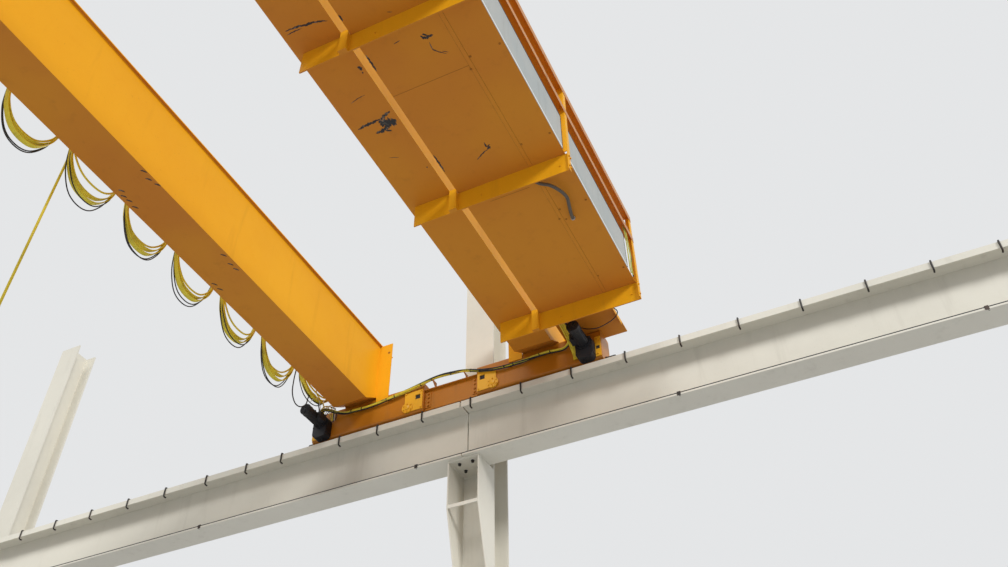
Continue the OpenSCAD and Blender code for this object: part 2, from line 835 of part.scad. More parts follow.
// The route is drawn for a terminal box at cable_end, and stretches with the carriage past the tie beam
cable_play = 1.6;
cable_end = 1742;
box_x = carriage_half - outer_wheel_in - motor_d / 2 - 3;
function cable_x(x) = abs(x) <= tie_half ? x :
  sign(x) * (tie_half + (abs(x) - tie_half) * (box_x - tie_half) / (cable_end - tie_half));
truck_cable_route = [
  [-1742, -225, 8866], [-1742, -225, 8898], [-1704, -198, 8932], [-1664, -136, 8946],
  [-1600, -70, 8942], [-1515, cable_off, 8929], [-1380, cable_off, 8918], [-1220, cable_off, 8911],
  [-1065, cable_off, 8913], [-860, cable_off, 8938], [-595, cable_off, 8978],
  [-375, cable_off, 9016], [-220, cable_off, 9044], [-100, cable_off, 9052], [0, cable_off, 9046],
  [220, cable_off, 9015], [435, cable_off, 8946], [600, cable_off, 8908], [705, cable_off, 8895],
  [820, cable_off, 8890], [975, cable_off, 8892], [1140, cable_off, 8905], [1305, cable_off, 8911],
  [1400, cable_off, 8903], [1525, cable_off, 8890], [1600, -70, 8896], [1664, -136, 8908],
  [1704, -198, 8916], [1742, -225, 8892], [1742, -225, 8866]];

module festoon_cables() {
  color("gold") tube(festoon_route, bundle_d, 8, [1, 0, 0]);
}

module truck_cables() {
  y = rail_y - truck_w / 2;
  color("gold") both_ends()
    tube([for (p = truck_cable_route) [crane_x + cable_x(p[0]), y + p[1], p[2]]], truck_cable_d, 8, [0, 1, 0]);
}

pendant_y = 2100;
pendant_d = 22;
pendant_x = track_x - 70;
pendant_top_z = 9290;

module pendant_cable() {
  low = pendant_z + pendant_h;
  color("gold")
    tube([for (i = [0 : 15]) [pendant_x, pendant_y, pendant_top_z + i * (low - pendant_top_z) / 15]],
         pendant_d, 8, [1, 0, 0]);
}

module pendant_station() {
  color(yellow) translate([pendant_x, pendant_y, pendant_z]) {
    linear_extrude(pendant_h - 60) rounded(pendant_w, pendant_t, 14);
    translate([0, 0, pendant_h - 60]) cylinder(d = 50, h = 60, $fn = 32);
  }
}

module wheel(i) {
  // Wheel with two flanges on its axle
  side = i < 4 ? 1 : -1;
  r = wheel_r;
  half = tread_w / 2;
  inner = truck_w - 2 * truck_t;
  end = truck_w / 2 - 0.5;
  lead = 4;
  color("dimgray") translate([crane_x + wheel_xs[i % 4], side * rail_y, axle_z]) rotate([90, 0, 0])
    rotate_extrude($fn = 64)
      polygon([[0, -end], [axle_d / 2, -end], [axle_d / 2, -inner / 2 + wheel_slack],
               [hub_d / 2, -inner / 2 + wheel_slack], [hub_d / 2, -half - wheel_flange_t],
               [r + wheel_flange_h, -half - wheel_flange_t], [r + wheel_flange_h, -half - lead],
               [r, -half], [r, half], [r + wheel_flange_h, half + lead],
               [r + wheel_flange_h, half + wheel_flange_t], [hub_d / 2, half + wheel_flange_t],
               [hub_d / 2, inner / 2 - wheel_slack], [axle_d / 2, inner / 2 - wheel_slack],
               [axle_d / 2, end], [0, end]]);
}

columns_far();
columns_near();
base_plates();
brackets_far();
brackets_near();
runway_beam_far();
runway_beam_near();
runway_cap_far();
runway_cap_near();
crane_rails();
tie_backs();
end_stops();
left_girder();
right_girder();
girder_end_plates();
end_stiffeners();
trolley_rails();
walkway_floor();
walkway_beams();
rail_posts();
hand_rails();
side_panels();
landings();
trucks_far();
trucks_near();
tie_beams();
bearing_plates();
bearing_caps();
gear_units();
drive_motors();
buffers();
festoon_track();
festoon_carriers();
festoon_cables();
truck_cables();
pendant_cable();
pendant_station();
wheel(0);  // wheel_1
wheel(1);  // wheel_2
wheel(2);  // wheel_3
wheel(3);  // wheel_4
wheel(4);  // wheel_5
wheel(5);  // wheel_6
wheel(6);  // wheel_7
wheel(7);  // wheel_8
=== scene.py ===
import json
import math

import bpy
import numpy as np
from mathutils import Matrix, Vector


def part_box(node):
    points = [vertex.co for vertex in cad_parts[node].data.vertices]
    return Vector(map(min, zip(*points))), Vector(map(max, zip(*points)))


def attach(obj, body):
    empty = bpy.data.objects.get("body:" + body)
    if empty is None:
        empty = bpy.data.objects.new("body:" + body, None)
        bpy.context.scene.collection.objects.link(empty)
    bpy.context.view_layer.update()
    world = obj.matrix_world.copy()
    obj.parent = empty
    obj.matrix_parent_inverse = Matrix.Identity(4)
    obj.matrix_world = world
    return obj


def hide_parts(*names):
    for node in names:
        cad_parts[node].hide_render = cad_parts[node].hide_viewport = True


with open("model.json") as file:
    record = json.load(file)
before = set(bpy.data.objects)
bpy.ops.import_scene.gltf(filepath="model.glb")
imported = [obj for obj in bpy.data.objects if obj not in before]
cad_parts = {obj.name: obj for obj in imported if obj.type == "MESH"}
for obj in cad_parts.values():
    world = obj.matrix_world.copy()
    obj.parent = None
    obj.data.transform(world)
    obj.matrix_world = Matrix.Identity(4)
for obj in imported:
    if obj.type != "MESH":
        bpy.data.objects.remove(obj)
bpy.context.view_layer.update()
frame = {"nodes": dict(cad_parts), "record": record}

# Looks of a double girder overhead bridge crane on its runway, in metres.
# +X runs along the runway, +Y along the bridge, +Z up.
# Places in small letters come from the frame, sizes and places in capitals are given.

BRIDGE = "bridge"
RUNWAY = "runway"
SIDES = (-1, 1)
UP, DOWN = (0, 0, 1), (0, 0, -1)
INWARD, OUTWARD = (0, -1, 0), (0, 1, 0)  # at the far end

RAIL_Y = 6.93               # middle of a crane rail and of an end carriage
TRUCK_FACE = RAIL_Y - 0.14  # inner face of the carriage's plates
WHEELS = np.array([-1.82, -0.59, 0.59, 1.82])  # along a carriage, from its middle
WEB_OUT = 0.228             # from a girder's middle to the outside of its web
FLANGE = 0.014              # its upper and lower plates
BEAM_DEPTH = 0.722          # runway beam with its cap
COLUMNS = np.array([-8.2, 0, 8.2])
COLUMN_Y = 7.4
BAY = 2.01                  # of the walkway
BAYS = 6
HAIR = 0.0002               # gap between a thin piece and the face it lies on


def span_of(node, axis):
    """Lowest and highest place of a CAD node along one axis."""
    low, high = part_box(node)
    return low[axis], high[axis]


left_x = sum(span_of("left_girder", 0)) / 2
right_x = sum(span_of("right_girder", 0)) / 2
crane_x = sum(span_of("trucks_far", 0)) / 2
girder_low, girder_top = span_of("left_girder", 2)
girder_end = span_of("left_girder", 1)[1]
truck_top = span_of("trucks_far", 2)[1]
axle_z = sum(span_of("wheel_1", 2)) / 2
rail_top = span_of("crane_rails", 2)[1]
cap_top = span_of("runway_cap_far", 2)[1]
beam_low = cap_top - BEAM_DEPTH
floor_z = span_of("walkway_floor", 2)[0]
walk_in, walk_out = span_of("walkway_floor", 0)
walk_end = span_of("walkway_floor", 1)[1]
bay_starts = -walk_end + BAY * np.arange(BAYS)


# Camera

EYE = (4.430, -1.570, 1.600)
HEADING = -24.84
PITCH = 43.41
ROLL = -0.81
FOCAL = 962.0
PHOTO_W = 1008


def make_camera():
    """A camera at the photograph's place: heading from +Y, then tilted up, then rolled."""
    data = bpy.data.cameras.new("camera")
    data.sensor_width = 36.0
    data.lens = data.sensor_width * FOCAL / PHOTO_W
    data.clip_end = 500
    camera = bpy.data.objects.new("camera", data)
    turn = (Matrix.Rotation(math.radians(-HEADING), 4, "Z")
            @ Matrix.Rotation(math.radians(90 + PITCH), 4, "X")
            @ Matrix.Rotation(math.radians(ROLL), 4, "Z"))
    camera.matrix_world = Matrix.Translation(EYE) @ turn
    bpy.context.scene.collection.objects.link(camera)
    bpy.context.scene.camera = camera


make_camera()


# Surfaces. A shape is (points, list of face arrays).

def unit(v):
    """Vectors of length one."""
    return v / np.maximum(np.linalg.norm(v, axis=-1, keepdims=True), 1e-12)


def joined(shapes):
    """Several shapes as one: their points stacked, their faces renumbered."""
    points, faces, count = [], [], 0
    for p, f in shapes:
        points.append(p)
        faces.extend(a + count for a in f)
        count += len(p)
    return np.concatenate(points), faces


def whole(shapes):
    """A shape as it is, or a list of shapes joined."""
    return joined(shapes) if isinstance(shapes, list) else shapes


def loft(rings):
    """Quads between rings (m, n, 3) of n points, and a fan round the middle of each end."""
    m, n = rings.shape[:2]
    i, j = np.meshgrid(np.arange(m - 1), np.arange(n), indexing="ij")
    k = (j + 1) % n
    quads = np.stack([i * n + j, i * n + k, (i + 1) * n + k, (i + 1) * n + j], -1).reshape(-1, 4)
    ends = np.stack([rings[0].mean(0), rings[-1].mean(0)])
    j = np.arange(n)
    k = (j + 1) % n
    first = np.stack([np.full(n, m * n), k, j], -1)
    last = np.stack([np.full(n, m * n + 1), (m - 1) * n + j, (m - 1) * n + k], -1)
    return np.concatenate([rings.reshape(-1, 3), ends]), [quads, np.concatenate([first, last])]


def sheet(grid):
    """Quads of an open grid of points (m, n, 3)."""
    m, n = grid.shape[:2]
    i, j = np.meshgrid(np.arange(m - 1), np.arange(n - 1), indexing="ij")
    a = i * n + j
    return grid.reshape(-1, 3), [np.stack([a, a + 1, a + n + 1, a + n], -1).reshape(-1, 4)]


def circle(radius, sides, start=0.0):
    """Points of a circle: radius times cos and sin of equal angles."""
    a = start + 2 * np.pi * np.arange(sides) / sides
    return radius * np.stack([np.cos(a), np.sin(a)], -1)


def swept(path, outline, side):
    """Carries an outline (n, 2) along a path (m, 3): point = path + a N + b (T x N), where T
    is the way the path runs and N the part of side that is square to it."""
    path = np.asarray(path, float)
    t = unit(np.gradient(path, axis=0))
    side = np.broadcast_to(np.asarray(side, float), path.shape)
    n = unit(side - (side * t).sum(-1, keepdims=True) * t)
    b = np.cross(t, n)
    outline = np.asarray(outline, float)
    if outline.ndim == 2:
        outline = np.broadcast_to(outline, (len(path), *outline.shape))
    return loft(path[:, None] + outline[..., :1] * n[:, None] + outline[..., 1:] * b[:, None])


def tube(path, radius, sides, side=(1, 0, 0)):
    """Round tube along a path."""
    return swept(path, circle(radius, sides), side)


def hoop(radius, y, z, thick, count, sides):
    """Thin ring about the y axis: a tube along the points of a closed circle."""
    a = np.linspace(0, 2 * np.pi, count)
    path = np.stack([radius * np.cos(a), np.full(count, y), z + radius * np.sin(a)], -1)
    return tube(path, thick, sides, (0, 1, 0))


def revolved(profile, sides):
    """Turns a profile of (radius, height) about the z axis."""
    profile = np.asarray(profile, float)
    ring = circle(1.0, sides, np.pi / sides)
    rings = np.concatenate([profile[:, :1, None] * ring[None],
                            np.broadcast_to(profile[:, 1:, None], (len(profile), sides, 1))], -1)
    return loft(rings)


def inset(outline, by):
    """An outline, counter-clockwise, with each edge moved inwards by the same amount."""
    after = unit(np.roll(outline, -1, 0) - outline)
    before = np.roll(after, 1, 0)
    n1, n2 = (np.stack([-e[:, 1], e[:, 0]], -1) for e in (before, after))
    return outline + by * (n1 + n2) / (1 + (n1 * n2).sum(-1, keepdims=True))


def prism(outline, depth, edge):
    """Raises a counter-clockwise outline along z, with its two rims chamfered by edge."""
    outline = np.asarray(outline, float)
    small = inset(outline, edge)
    levels = [(small, 0), (outline, edge), (outline, depth - edge), (small, depth)]
    return loft(np.stack([np.c_[o, np.full(len(o), z)] for o, z in levels]))


def block(low, high, edge=0.002):
    """Rectangular plate or bar from corner to corner, with chamfered rims."""
    (x0, y0, z0), (x1, y1, z1) = low, high
    p, f = prism([(x0, y0), (x1, y0), (x1, y1), (x0, y1)], z1 - z0, edge)
    return p + [0, 0, z0], f


def spot(origin, up, along=(1, 0, 0)):
    """Matrix that puts a shape at origin with its z axis on up and its x axis near along."""
    z = unit(np.asarray(up, float))
    x = np.asarray(along, float)
    x = x - (x @ z) * z
    x = unit(x) if np.linalg.norm(x) > 1e-6 else unit(np.cross(z, [0.3, 1, 0.2]))
    made = np.eye(4)
    made[:3, :3] = np.stack([x, np.cross(z, x), z], -1)
    made[:3, 3] = origin
    return made


def placed(shape, spots):
    """Copies of a shape at each of a list of matrices, as one shape."""
    points, faces = shape
    m = np.asarray(spots, float).reshape(-1, 4, 4)
    moved = np.einsum("kij,nj->kni", m[:, :3, :3], points) + m[:, None, :3, 3]
    shift = (np.arange(len(m)) * len(points))[:, None, None]
    return moved.reshape(-1, 3), [(f[None] + shift).reshape(-1, f.shape[-1]) for f in faces]


def at_each(shape, places, way=UP):
    """Copies of a shape at a list of places, with its z axis on way."""
    return placed(shape, [spot(p, way) for p in np.asarray(places, float)])


def mirrored(shape, axis=1):
    """A shape's twin across the middle of one axis: faces turn round too."""
    points, faces = shape
    sign = np.ones(3)
    sign[axis] = -1
    return points * sign, [f[:, ::-1] for f in faces]


def both_ends(shapes):
    """A far end's shape or shapes, and their twins at the near end."""
    far = whole(shapes)
    return joined([far, mirrored(far)])


def smooth_path(points, step):
    """Catmull-Rom curve through given points, with a point about every step."""
    p = np.asarray(points, float)
    p = np.concatenate([[2 * p[0] - p[1]], p, [2 * p[-1] - p[-2]]])
    spans = []
    for a, b, c, d in zip(p, p[1:], p[2:], p[3:]):
        count = max(2, int(round(np.linalg.norm(c - b) / step)))
        t = (np.arange(count) / count)[:, None]
        spans.append(0.5 * (2 * b + (c - a) * t + (2 * a - 5 * b + 4 * c - d) * t ** 2
                            + (3 * b - a - 3 * c + d) * t ** 3))
    return np.concatenate([*spans, p[-2:-1]])


def steps_of(path):
    """Length of each straight step of a path."""
    return np.linalg.norm(np.diff(path, axis=0), axis=1)


def run_along(path):
    """Length from the path's start to each of its points."""
    return np.r_[0, np.cumsum(steps_of(path))]


def rows(*choices):
    """Every combination of the given values, as rows."""
    return np.stack(np.meshgrid(*choices, indexing="ij"), -1).reshape(-1, len(choices))


def piece(name, shapes, finish, body=BRIDGE, crease=35):
    """Makes an object of one or more shapes, gives it its finish and lets it ride on a body."""
    points, faces = whole(shapes)
    mesh = bpy.data.meshes.new(name)
    sizes = np.concatenate([np.full(len(f), f.shape[1]) for f in faces])
    corners = np.concatenate([f.ravel() for f in faces]).astype(np.int32)
    mesh.vertices.add(len(points))
    mesh.vertices.foreach_set("co", points.astype(np.float32).ravel())
    mesh.loops.add(len(corners))
    mesh.loops.foreach_set("vertex_index", corners)
    mesh.polygons.add(len(sizes))
    mesh.polygons.foreach_set("loop_start", np.r_[0, np.cumsum(sizes)[:-1]].astype(np.int32))
    mesh.update(calc_edges=True)
    mesh.validate()
    mesh.shade_smooth()
    mesh.set_sharp_from_angle(angle=math.radians(crease))
    made = bpy.data.objects.new(name, mesh)
    mesh.materials.append(finish)
    bpy.context.scene.collection.objects.link(made)
    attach(made, body)
    return made


# Finishes

class Socket:
    """One output of a finish's nodes. Each operator adds a Math node."""

    def __init__(self, finish, output):
        self.finish = finish
        self.output = output

    def maths(self, operation, *values):
        return self.finish.node("ShaderNodeMath", {"operation": operation}, dict(enumerate(values)))

    def __add__(self, other):
        return self.maths("ADD", self, other)

    def __radd__(self, other):
        return self.maths("ADD", other, self)

    def __sub__(self, other):
        return self.maths("SUBTRACT", self, other)

    def __rsub__(self, other):
        return self.maths("SUBTRACT", other, self)

    def __mul__(self, other):
        return self.maths("MULTIPLY", self, other)

    def __rmul__(self, other):
        return self.maths("MULTIPLY", other, self)

    def __truediv__(self, other):
        return self.maths("DIVIDE", self, other)

    def size(self):
        return self.maths("ABSOLUTE", self)

    def step(self, low, high):
        """0 below low and 1 above high, with a soft step between; low may be above high."""
        return self.finish.node("ShaderNodeMapRange", {"interpolation_type": "SMOOTHSTEP"},
                                {"Value": self, "From Min": low, "From Max": high})


class Finish:
    """A material being built on Object coordinates."""

    def __init__(self, name):
        self.material = bpy.data.materials.new(name)
        self.material.use_nodes = True
        self.tree = self.material.node_tree
        self.shader = self.tree.nodes["Principled BSDF"]
        self.place = self.node("ShaderNodeTexCoord", {}, {}, "Object")

    def node(self, kind, settings, inputs, output=0):
        """Adds a node: its settings first, then the values or links of its sockets."""
        made = self.tree.nodes.new(kind)
        for key, value in settings.items():
            setattr(made, key, value)
        for key, value in inputs.items():
            self.feed(made.inputs[key], value)
        return Socket(self, made.outputs[output])

    def feed(self, socket, value):
        if isinstance(value, Socket):
            self.tree.links.new(value.output, socket)
        elif isinstance(value, tuple) and len(value) == 3 and socket.type == "RGBA":
            socket.default_value = (*value, 1.0)
        else:
            socket.default_value = value

    def stretched(self, by):
        """The place with its axes scaled."""
        return self.node("ShaderNodeMapping", {}, {"Vector": self.place, "Scale": by})

    def noise(self, scale, detail, rough=0.55, at=None):
        return self.node("ShaderNodeTexNoise", {}, {
            "Vector": at or self.place, "Scale": scale, "Detail": detail, "Roughness": rough})

    def cells(self, scale):
        return self.node("ShaderNodeTexVoronoi", {}, {"Vector": self.place, "Scale": scale})

    def axis(self, name, of=None):
        return self.node("ShaderNodeSeparateXYZ", {}, {0: of or self.place}, name)

    def facing(self, name):
        """One part of the surface's normal."""
        normal = self.node("ShaderNodeNewGeometry", {}, {}, "Normal")
        return self.axis(name, normal)

    def mix(self, share, first, second):
        """A colour between two colours."""
        return self.node("ShaderNodeMix", {"data_type": "RGBA"}, {0: share, 6: first, 7: second}, 2)

    def bump(self, height, strength, distance, under=None):
        inputs = {"Height": height, "Strength": strength, "Distance": distance}
        if under:
            inputs["Normal"] = under
        return self.node("ShaderNodeBump", {}, inputs)

    def lozenges(self, cell):
        """Checker plate: in cells of a width, a raised lozenge along one diagonal and, in every
        other cell, along the other: 1 - long^2 / 0.30 - short^2 / 0.026, with a soft rim."""
        x, y = self.axis("X") / cell, self.axis("Y") / cell
        a, b = (v - v.maths("FLOOR", v) - 0.5 for v in (x, y))
        odd = x.maths("FLOORED_MODULO", x.maths("FLOOR", x) + y.maths("FLOOR", y), 2.0)
        along, across = a + b, a - b
        one, other = (1 - (u * u) / 0.30 - (v * v) / 0.026
                      for u, v in ((along, across), (across, along)))
        return (one * (1 - odd) + other * odd).step(0.0, 0.35)

    def done(self, **sockets):
        for name, value in sockets.items():
            self.feed(self.shader.inputs[name.replace("_", " ").title()], value)
        return self.material


DUST = (0.35, 0.31, 0.26)


def enamel(name, colour, deep, dirt, dull=0.34, grime=0.5, below=None, shine=0.12, tread=False):
    """Sprayed enamel: slow drift of the coat, runs of dirt on upright faces, dust on top faces.
    Undersides may take painted shade, a darker colour of their own, and top faces may have a raised tread."""
    f = Finish(name)
    broad = f.noise(0.55, 3)
    hand = f.noise(7.0, 5, 0.62)
    runs = f.noise(1.3, 5, 0.6, f.stretched((4.5, 4.5, 0.45)))
    up = f.facing("Z")
    top = up.step(0.55, 0.9)
    under = up.step(-0.55, -0.9)
    upright = 1 - up.size().step(0.25, 0.6)
    coat = f.mix(broad.step(0.35, 0.7) * 0.45 + hand.step(0.45, 0.75) * 0.14, colour, deep)
    # painted shade: downward faces go about halfway to the darker colour given as below
    if below:
        coat = f.mix(under * (0.47 + broad.step(0.4, 0.7) * 0.08), coat, below)
    stain = (runs.step(0.54, 0.8) * upright * (0.36 * grime)
             + hand.step(0.55, 0.8) * under * (0.34 * grime))
    specks = f.noise(42.0, 3).step(0.66, 0.74) * broad.step(0.45, 0.6)
    dusty = top * (hand * 0.5 + 0.3) * grime
    coat = f.mix(stain + specks * (0.35 * grime), coat, dirt)
    coat = f.mix(dusty, coat, DUST)
    peel = f.noise(330.0, 1)
    waves = f.noise(1.6, 1)
    relief = f.bump(peel, 0.05, 0.001, f.bump(waves, 0.12, 0.02))
    if tread:
        relief = f.bump(f.lozenges(0.032) * top, 0.8, 0.0015, relief)
    f.feed(f.shader.inputs["Specular IOR Level"], shine)
    return f.done(base_color=coat, roughness=dull + hand * 0.14 + dusty * 0.5 + stain * 0.4,
                  normal=relief)


def bare_steel(name, colour, rust, bright=None, dull=0.42, level=None):
    """Rolled or forged steel with brown scale, and a polished band above a level."""
    f = Finish(name)
    blotch = f.noise(6.0, 6, 0.65)
    streak = f.noise(3.0, 4, 0.6, f.stretched((0.4, 12, 12)))
    coat = f.mix(blotch.step(0.42, 0.7), colour, rust)
    rough = dull + blotch * 0.3
    metal = 0.85 - blotch.step(0.45, 0.7) * 0.5
    if bright:
        worn = f.axis("Z").step(level - 0.004, level - 0.0005) * (0.6 + streak * 0.5)
        coat = f.mix(worn, coat, bright)
        rough = rough - worn * 0.3
    return f.done(base_color=coat, roughness=rough, metallic=metal,
                  normal=f.bump(blotch, 0.25, 0.0015))


def sheath(name, colour, dark, dull=0.5):
    """Cable sheath: rubbed and grimy in patches."""
    f = Finish(name)
    patch = f.noise(9.0, 4, 0.6)
    fine = f.noise(60.0, 3)
    coat = f.mix(patch.step(0.48, 0.75) * 0.55, colour, dark)
    return f.done(base_color=coat, roughness=dull + fine * 0.2, normal=f.bump(fine, 0.2, 0.0006))


def cast_black(name, colour, dust):
    """Black paint over castings, with pale dust where it faces up."""
    f = Finish(name)
    grain = f.noise(55.0, 4, 0.6)
    patch = f.noise(5.0, 4, 0.6)
    top = f.facing("Z").step(0.2, 0.9)
    coat = f.mix(top * (0.25 + patch * 0.35) + patch.step(0.62, 0.8) * 0.12, colour, dust)
    return f.done(base_color=coat, roughness=0.45 + grain * 0.2 + top * 0.15,
                  normal=f.bump(grain, 0.35, 0.0012))


def rubber(name, colour, pale):
    """Rubber, faintly mottled."""
    f = Finish(name)
    grain = f.noise(80.0, 4)
    return f.done(base_color=f.mix(f.noise(6.0, 4).step(0.4, 0.8) * 0.5, colour, pale),
                  roughness=0.68 + grain * 0.2, normal=f.bump(grain, 0.3, 0.001))


def zinc(name, colour, dark):
    """Galvanised steel with its crystal spangle."""
    f = Finish(name)
    spangle = f.cells(70.0)
    wash = f.noise(4.0, 4)
    coat = f.mix(spangle * 0.8 + wash.step(0.5, 0.8) * 0.3, colour, dark)
    return f.done(base_color=coat, metallic=0.75, roughness=0.42 + spangle * 0.25,
                  normal=f.bump(f.noise(120.0, 2), 0.15, 0.0006))


def panel_sheet(name, colour, cast, runs_colour):
    """Coated sheet, with a second cast in patches and faint runs."""
    f = Finish(name)
    runs = f.noise(1.2, 5, 0.6, f.stretched((1, 9, 0.8)))
    patch = f.noise(1.7, 3)
    coat = f.mix(patch.step(0.4, 0.75) * 0.5, colour, cast)
    coat = f.mix(runs.step(0.52, 0.8) * 0.4, coat, runs_colour)
    return f.done(base_color=coat, roughness=0.45 + patch * 0.2,
                  normal=f.bump(f.noise(2.2, 2), 0.2, 0.01))


def smear(name, colour, edges):
    """Torn film and scraped paint, with paler edges."""
    f = Finish(name)
    torn = f.noise(24.0, 6, 0.7)
    coat = f.mix(torn.step(0.5, 0.66), colour, edges)
    return f.done(base_color=coat, roughness=0.55 + torn * 0.3, normal=f.bump(torn, 0.4, 0.002))


def plastic(name, colour, dark):
    """Moulded plastic with handling marks."""
    f = Finish(name)
    grain = f.noise(300.0, 2)
    mark = f.noise(14.0, 5, 0.6)
    return f.done(base_color=f.mix(mark.step(0.5, 0.75) * 0.3, colour, dark),
                  roughness=0.42 + mark * 0.15, normal=f.bump(grain, 0.12, 0.0004))


COAT = (0.81, 0.395, 0.012)
DEEP = (0.74, 0.325, 0.010)
DIRT = (0.20, 0.085, 0.018)
# painted shade colour for the crane's undersides
UNDERSIDE_SHADE = (0.36, 0.060, 0.035)
SCALE = (0.14, 0.12, 0.11)
RUST = (0.11, 0.06, 0.04)

crane_paint = enamel("crane_enamel", COAT, DEEP, DIRT, below=UNDERSIDE_SHADE)
tread_paint = enamel("tread_enamel", COAT, DEEP, DIRT, below=UNDERSIDE_SHADE, tread=True)
# darker copy of the crane's coat: painted shade for the carriages, tie beams and rail facings, which lie in
# shade, over their real heavy grime
truck_shaded_paint = enamel("truck_shaded_enamel", (0.50, 0.185, 0.010), (0.38, 0.120, 0.008),
                     (0.07, 0.035, 0.014), 0.28, 0.9, shine=0.4)
plate_paint = enamel("plate_enamel", (0.86, 0.46, 0.025), (0.78, 0.37, 0.015),
                     (0.20, 0.09, 0.02), 0.3, 0.7, shine=0.4)
runway_paint = enamel("runway_enamel", (0.70, 0.675, 0.59), (0.60, 0.575, 0.50),
                      (0.26, 0.23, 0.18), 0.42)
rail_steel = bare_steel("rail_steel", SCALE, RUST, (0.55, 0.54, 0.53), level=rail_top)
trolley_steel = bare_steel("trolley_rail_steel", SCALE, RUST, (0.5, 0.49, 0.48),
                           level=girder_top + 0.04)
wheel_steel = bare_steel("wheel_steel", (0.24, 0.23, 0.22), (0.12, 0.08, 0.06))
drive_paint = cast_black("drive_black", (0.014, 0.014, 0.017), (0.17, 0.155, 0.135))
# black rubber, and painted shade in the plates' windows
black_rubber_and_shade = rubber("black_rubber_and_shade", (0.018, 0.018, 0.019), (0.06, 0.055, 0.05))
galvanised = zinc("galvanised", (0.55, 0.56, 0.57), (0.33, 0.34, 0.35))
yellow_sheath = sheath("yellow_sheath", (0.80, 0.65, 0.045), (0.40, 0.32, 0.05))
green_sheath = sheath("yellow_green_sheath", (0.42, 0.42, 0.05), (0.20, 0.20, 0.05))
black_sheath = sheath("black_sheath", (0.016, 0.016, 0.018), (0.07, 0.065, 0.06), 0.42)
grey_sheath = sheath("grey_sheath", (0.095, 0.078, 0.060), (0.045, 0.036, 0.028), 0.36)
pale_sheath = sheath("pale_sheath", (0.62, 0.61, 0.56), (0.35, 0.33, 0.28), 0.4)
white_panel = panel_sheet("white_panel", (0.40, 0.41, 0.39), (0.31, 0.36, 0.37), (0.22, 0.21, 0.18))
black_smear = smear("black_smear", (0.020, 0.018, 0.017), (0.16, 0.13, 0.10))
dark_bolt = bare_steel("dark_bolt", (0.05, 0.048, 0.046), (0.06, 0.04, 0.03), dull=0.4)
# rust brown: rust on the floor's seams and rivets, and painted shade in the ears' holes
rust_and_shade = enamel("rust_and_shade", (0.36, 0.145, 0.02), (0.24, 0.09, 0.015), (0.09, 0.04, 0.015), 0.55)
station_yellow = plastic("station_yellow", (0.80, 0.50, 0.03), (0.40, 0.26, 0.05))
button_red = plastic("button_red", (0.60, 0.02, 0.015), (0.25, 0.02, 0.02))
button_black = plastic("button_black", (0.02, 0.02, 0.022), (0.08, 0.08, 0.08))
button_white = plastic("button_white", (0.75, 0.75, 0.72), (0.4, 0.4, 0.38))

CAD_FINISH = {
    "crane_paint": crane_paint, "runway_paint": runway_paint, "rail_steel": rail_steel,
    "wheel_steel": wheel_steel, "panel_white": white_panel, "drive_black": drive_paint,
    "buffer_rubber": black_rubber_and_shade, "galvanised": galvanised, "cable_yellow": yellow_sheath,
    "station_plastic": station_yellow}
OWN_FINISH = {
    "trolley_rails": trolley_steel, "trucks_far": truck_shaded_paint, "trucks_near": truck_shaded_paint,
    "tie_beams": truck_shaded_paint, "bearing_plates": plate_paint, "bearing_caps": plate_paint,
    "walkway_floor": tread_paint}


def dress_frame():
    """Gives every CAD node the finish of its slot, or its own."""
    for part in frame["record"]["subparts"]:
        node = frame["nodes"][part["node"]]
        finish = OWN_FINISH.get(part["node"], CAD_FINISH[part["material_slot"]])
        node.data.materials.clear()
        node.data.materials.append(finish)


dress_frame()


# Festoon, pendant and bundle cables

TRACK_X = -1.942
CARRIERS = 9
CARRIER_Z = 9.24
CRADLE = 0.071
FESTOON_Y0 = 6.76
FESTOON_PITCH = 0.8
SWAY = 0.05
# One loop from a carrier to the next: y and z from the carrier's middle, in millimetres
LOOP = [(0, 71), (-50, 50), (-74, -10), (-130, -250), (-250, -430), (-400, -480),
        (-550, -430), (-670, -250), (-726, -10), (-750, 50)]
FIRST_LOOP = [(0, 71), (-50, 50), (-74, -10), (-130, -130), (-250, -230), (-400, -260),
              (-550, -230), (-670, -130), (-726, -10), (-750, 50)]


def festoon_route(deeper, aside, lift, sway):
    """The route over the carriers, in metres. Its loops may hang deeper, run to one side, pass the
    carriers higher, and swing a little to and fro."""
    points = []
    for k in range(CARRIERS - 1):
        swing = sway * math.sin(2.3 * k + 40 * deeper + 1.0)
        uneven = 1 + 0.25 * math.sin(1.7 * k)
        for y, z in FIRST_LOOP if k == 0 else LOOP:
            hang = min(0.0, z - 20) / 500
            points.append((TRACK_X + aside + swing * -hang,
                           FESTOON_Y0 - k * FESTOON_PITCH + y / 1000,
                           CARRIER_Z + z / 1000 + lift * (1 + hang) + deeper * hang * uneven))
    last_y = FESTOON_Y0 - (CARRIERS - 1) * FESTOON_PITCH
    return [*points, (TRACK_X + aside, last_y, CARRIER_Z + CRADLE + lift)]


def flat_outline(width, thick, cores):
    """Outline of a flat cable: two long sides that swell over each core, as |sin| waves."""
    u = np.linspace(-1, 1, 8 * cores + 1)
    swell = thick / 2 * (0.72 + 0.28 * np.abs(np.sin(np.pi * cores * (u + 1) / 2)))
    swell[[0, -1]] = thick * 0.12
    side = np.stack([u * width / 2, -swell], -1)
    return np.concatenate([side, side[::-1] * [1, -1]])


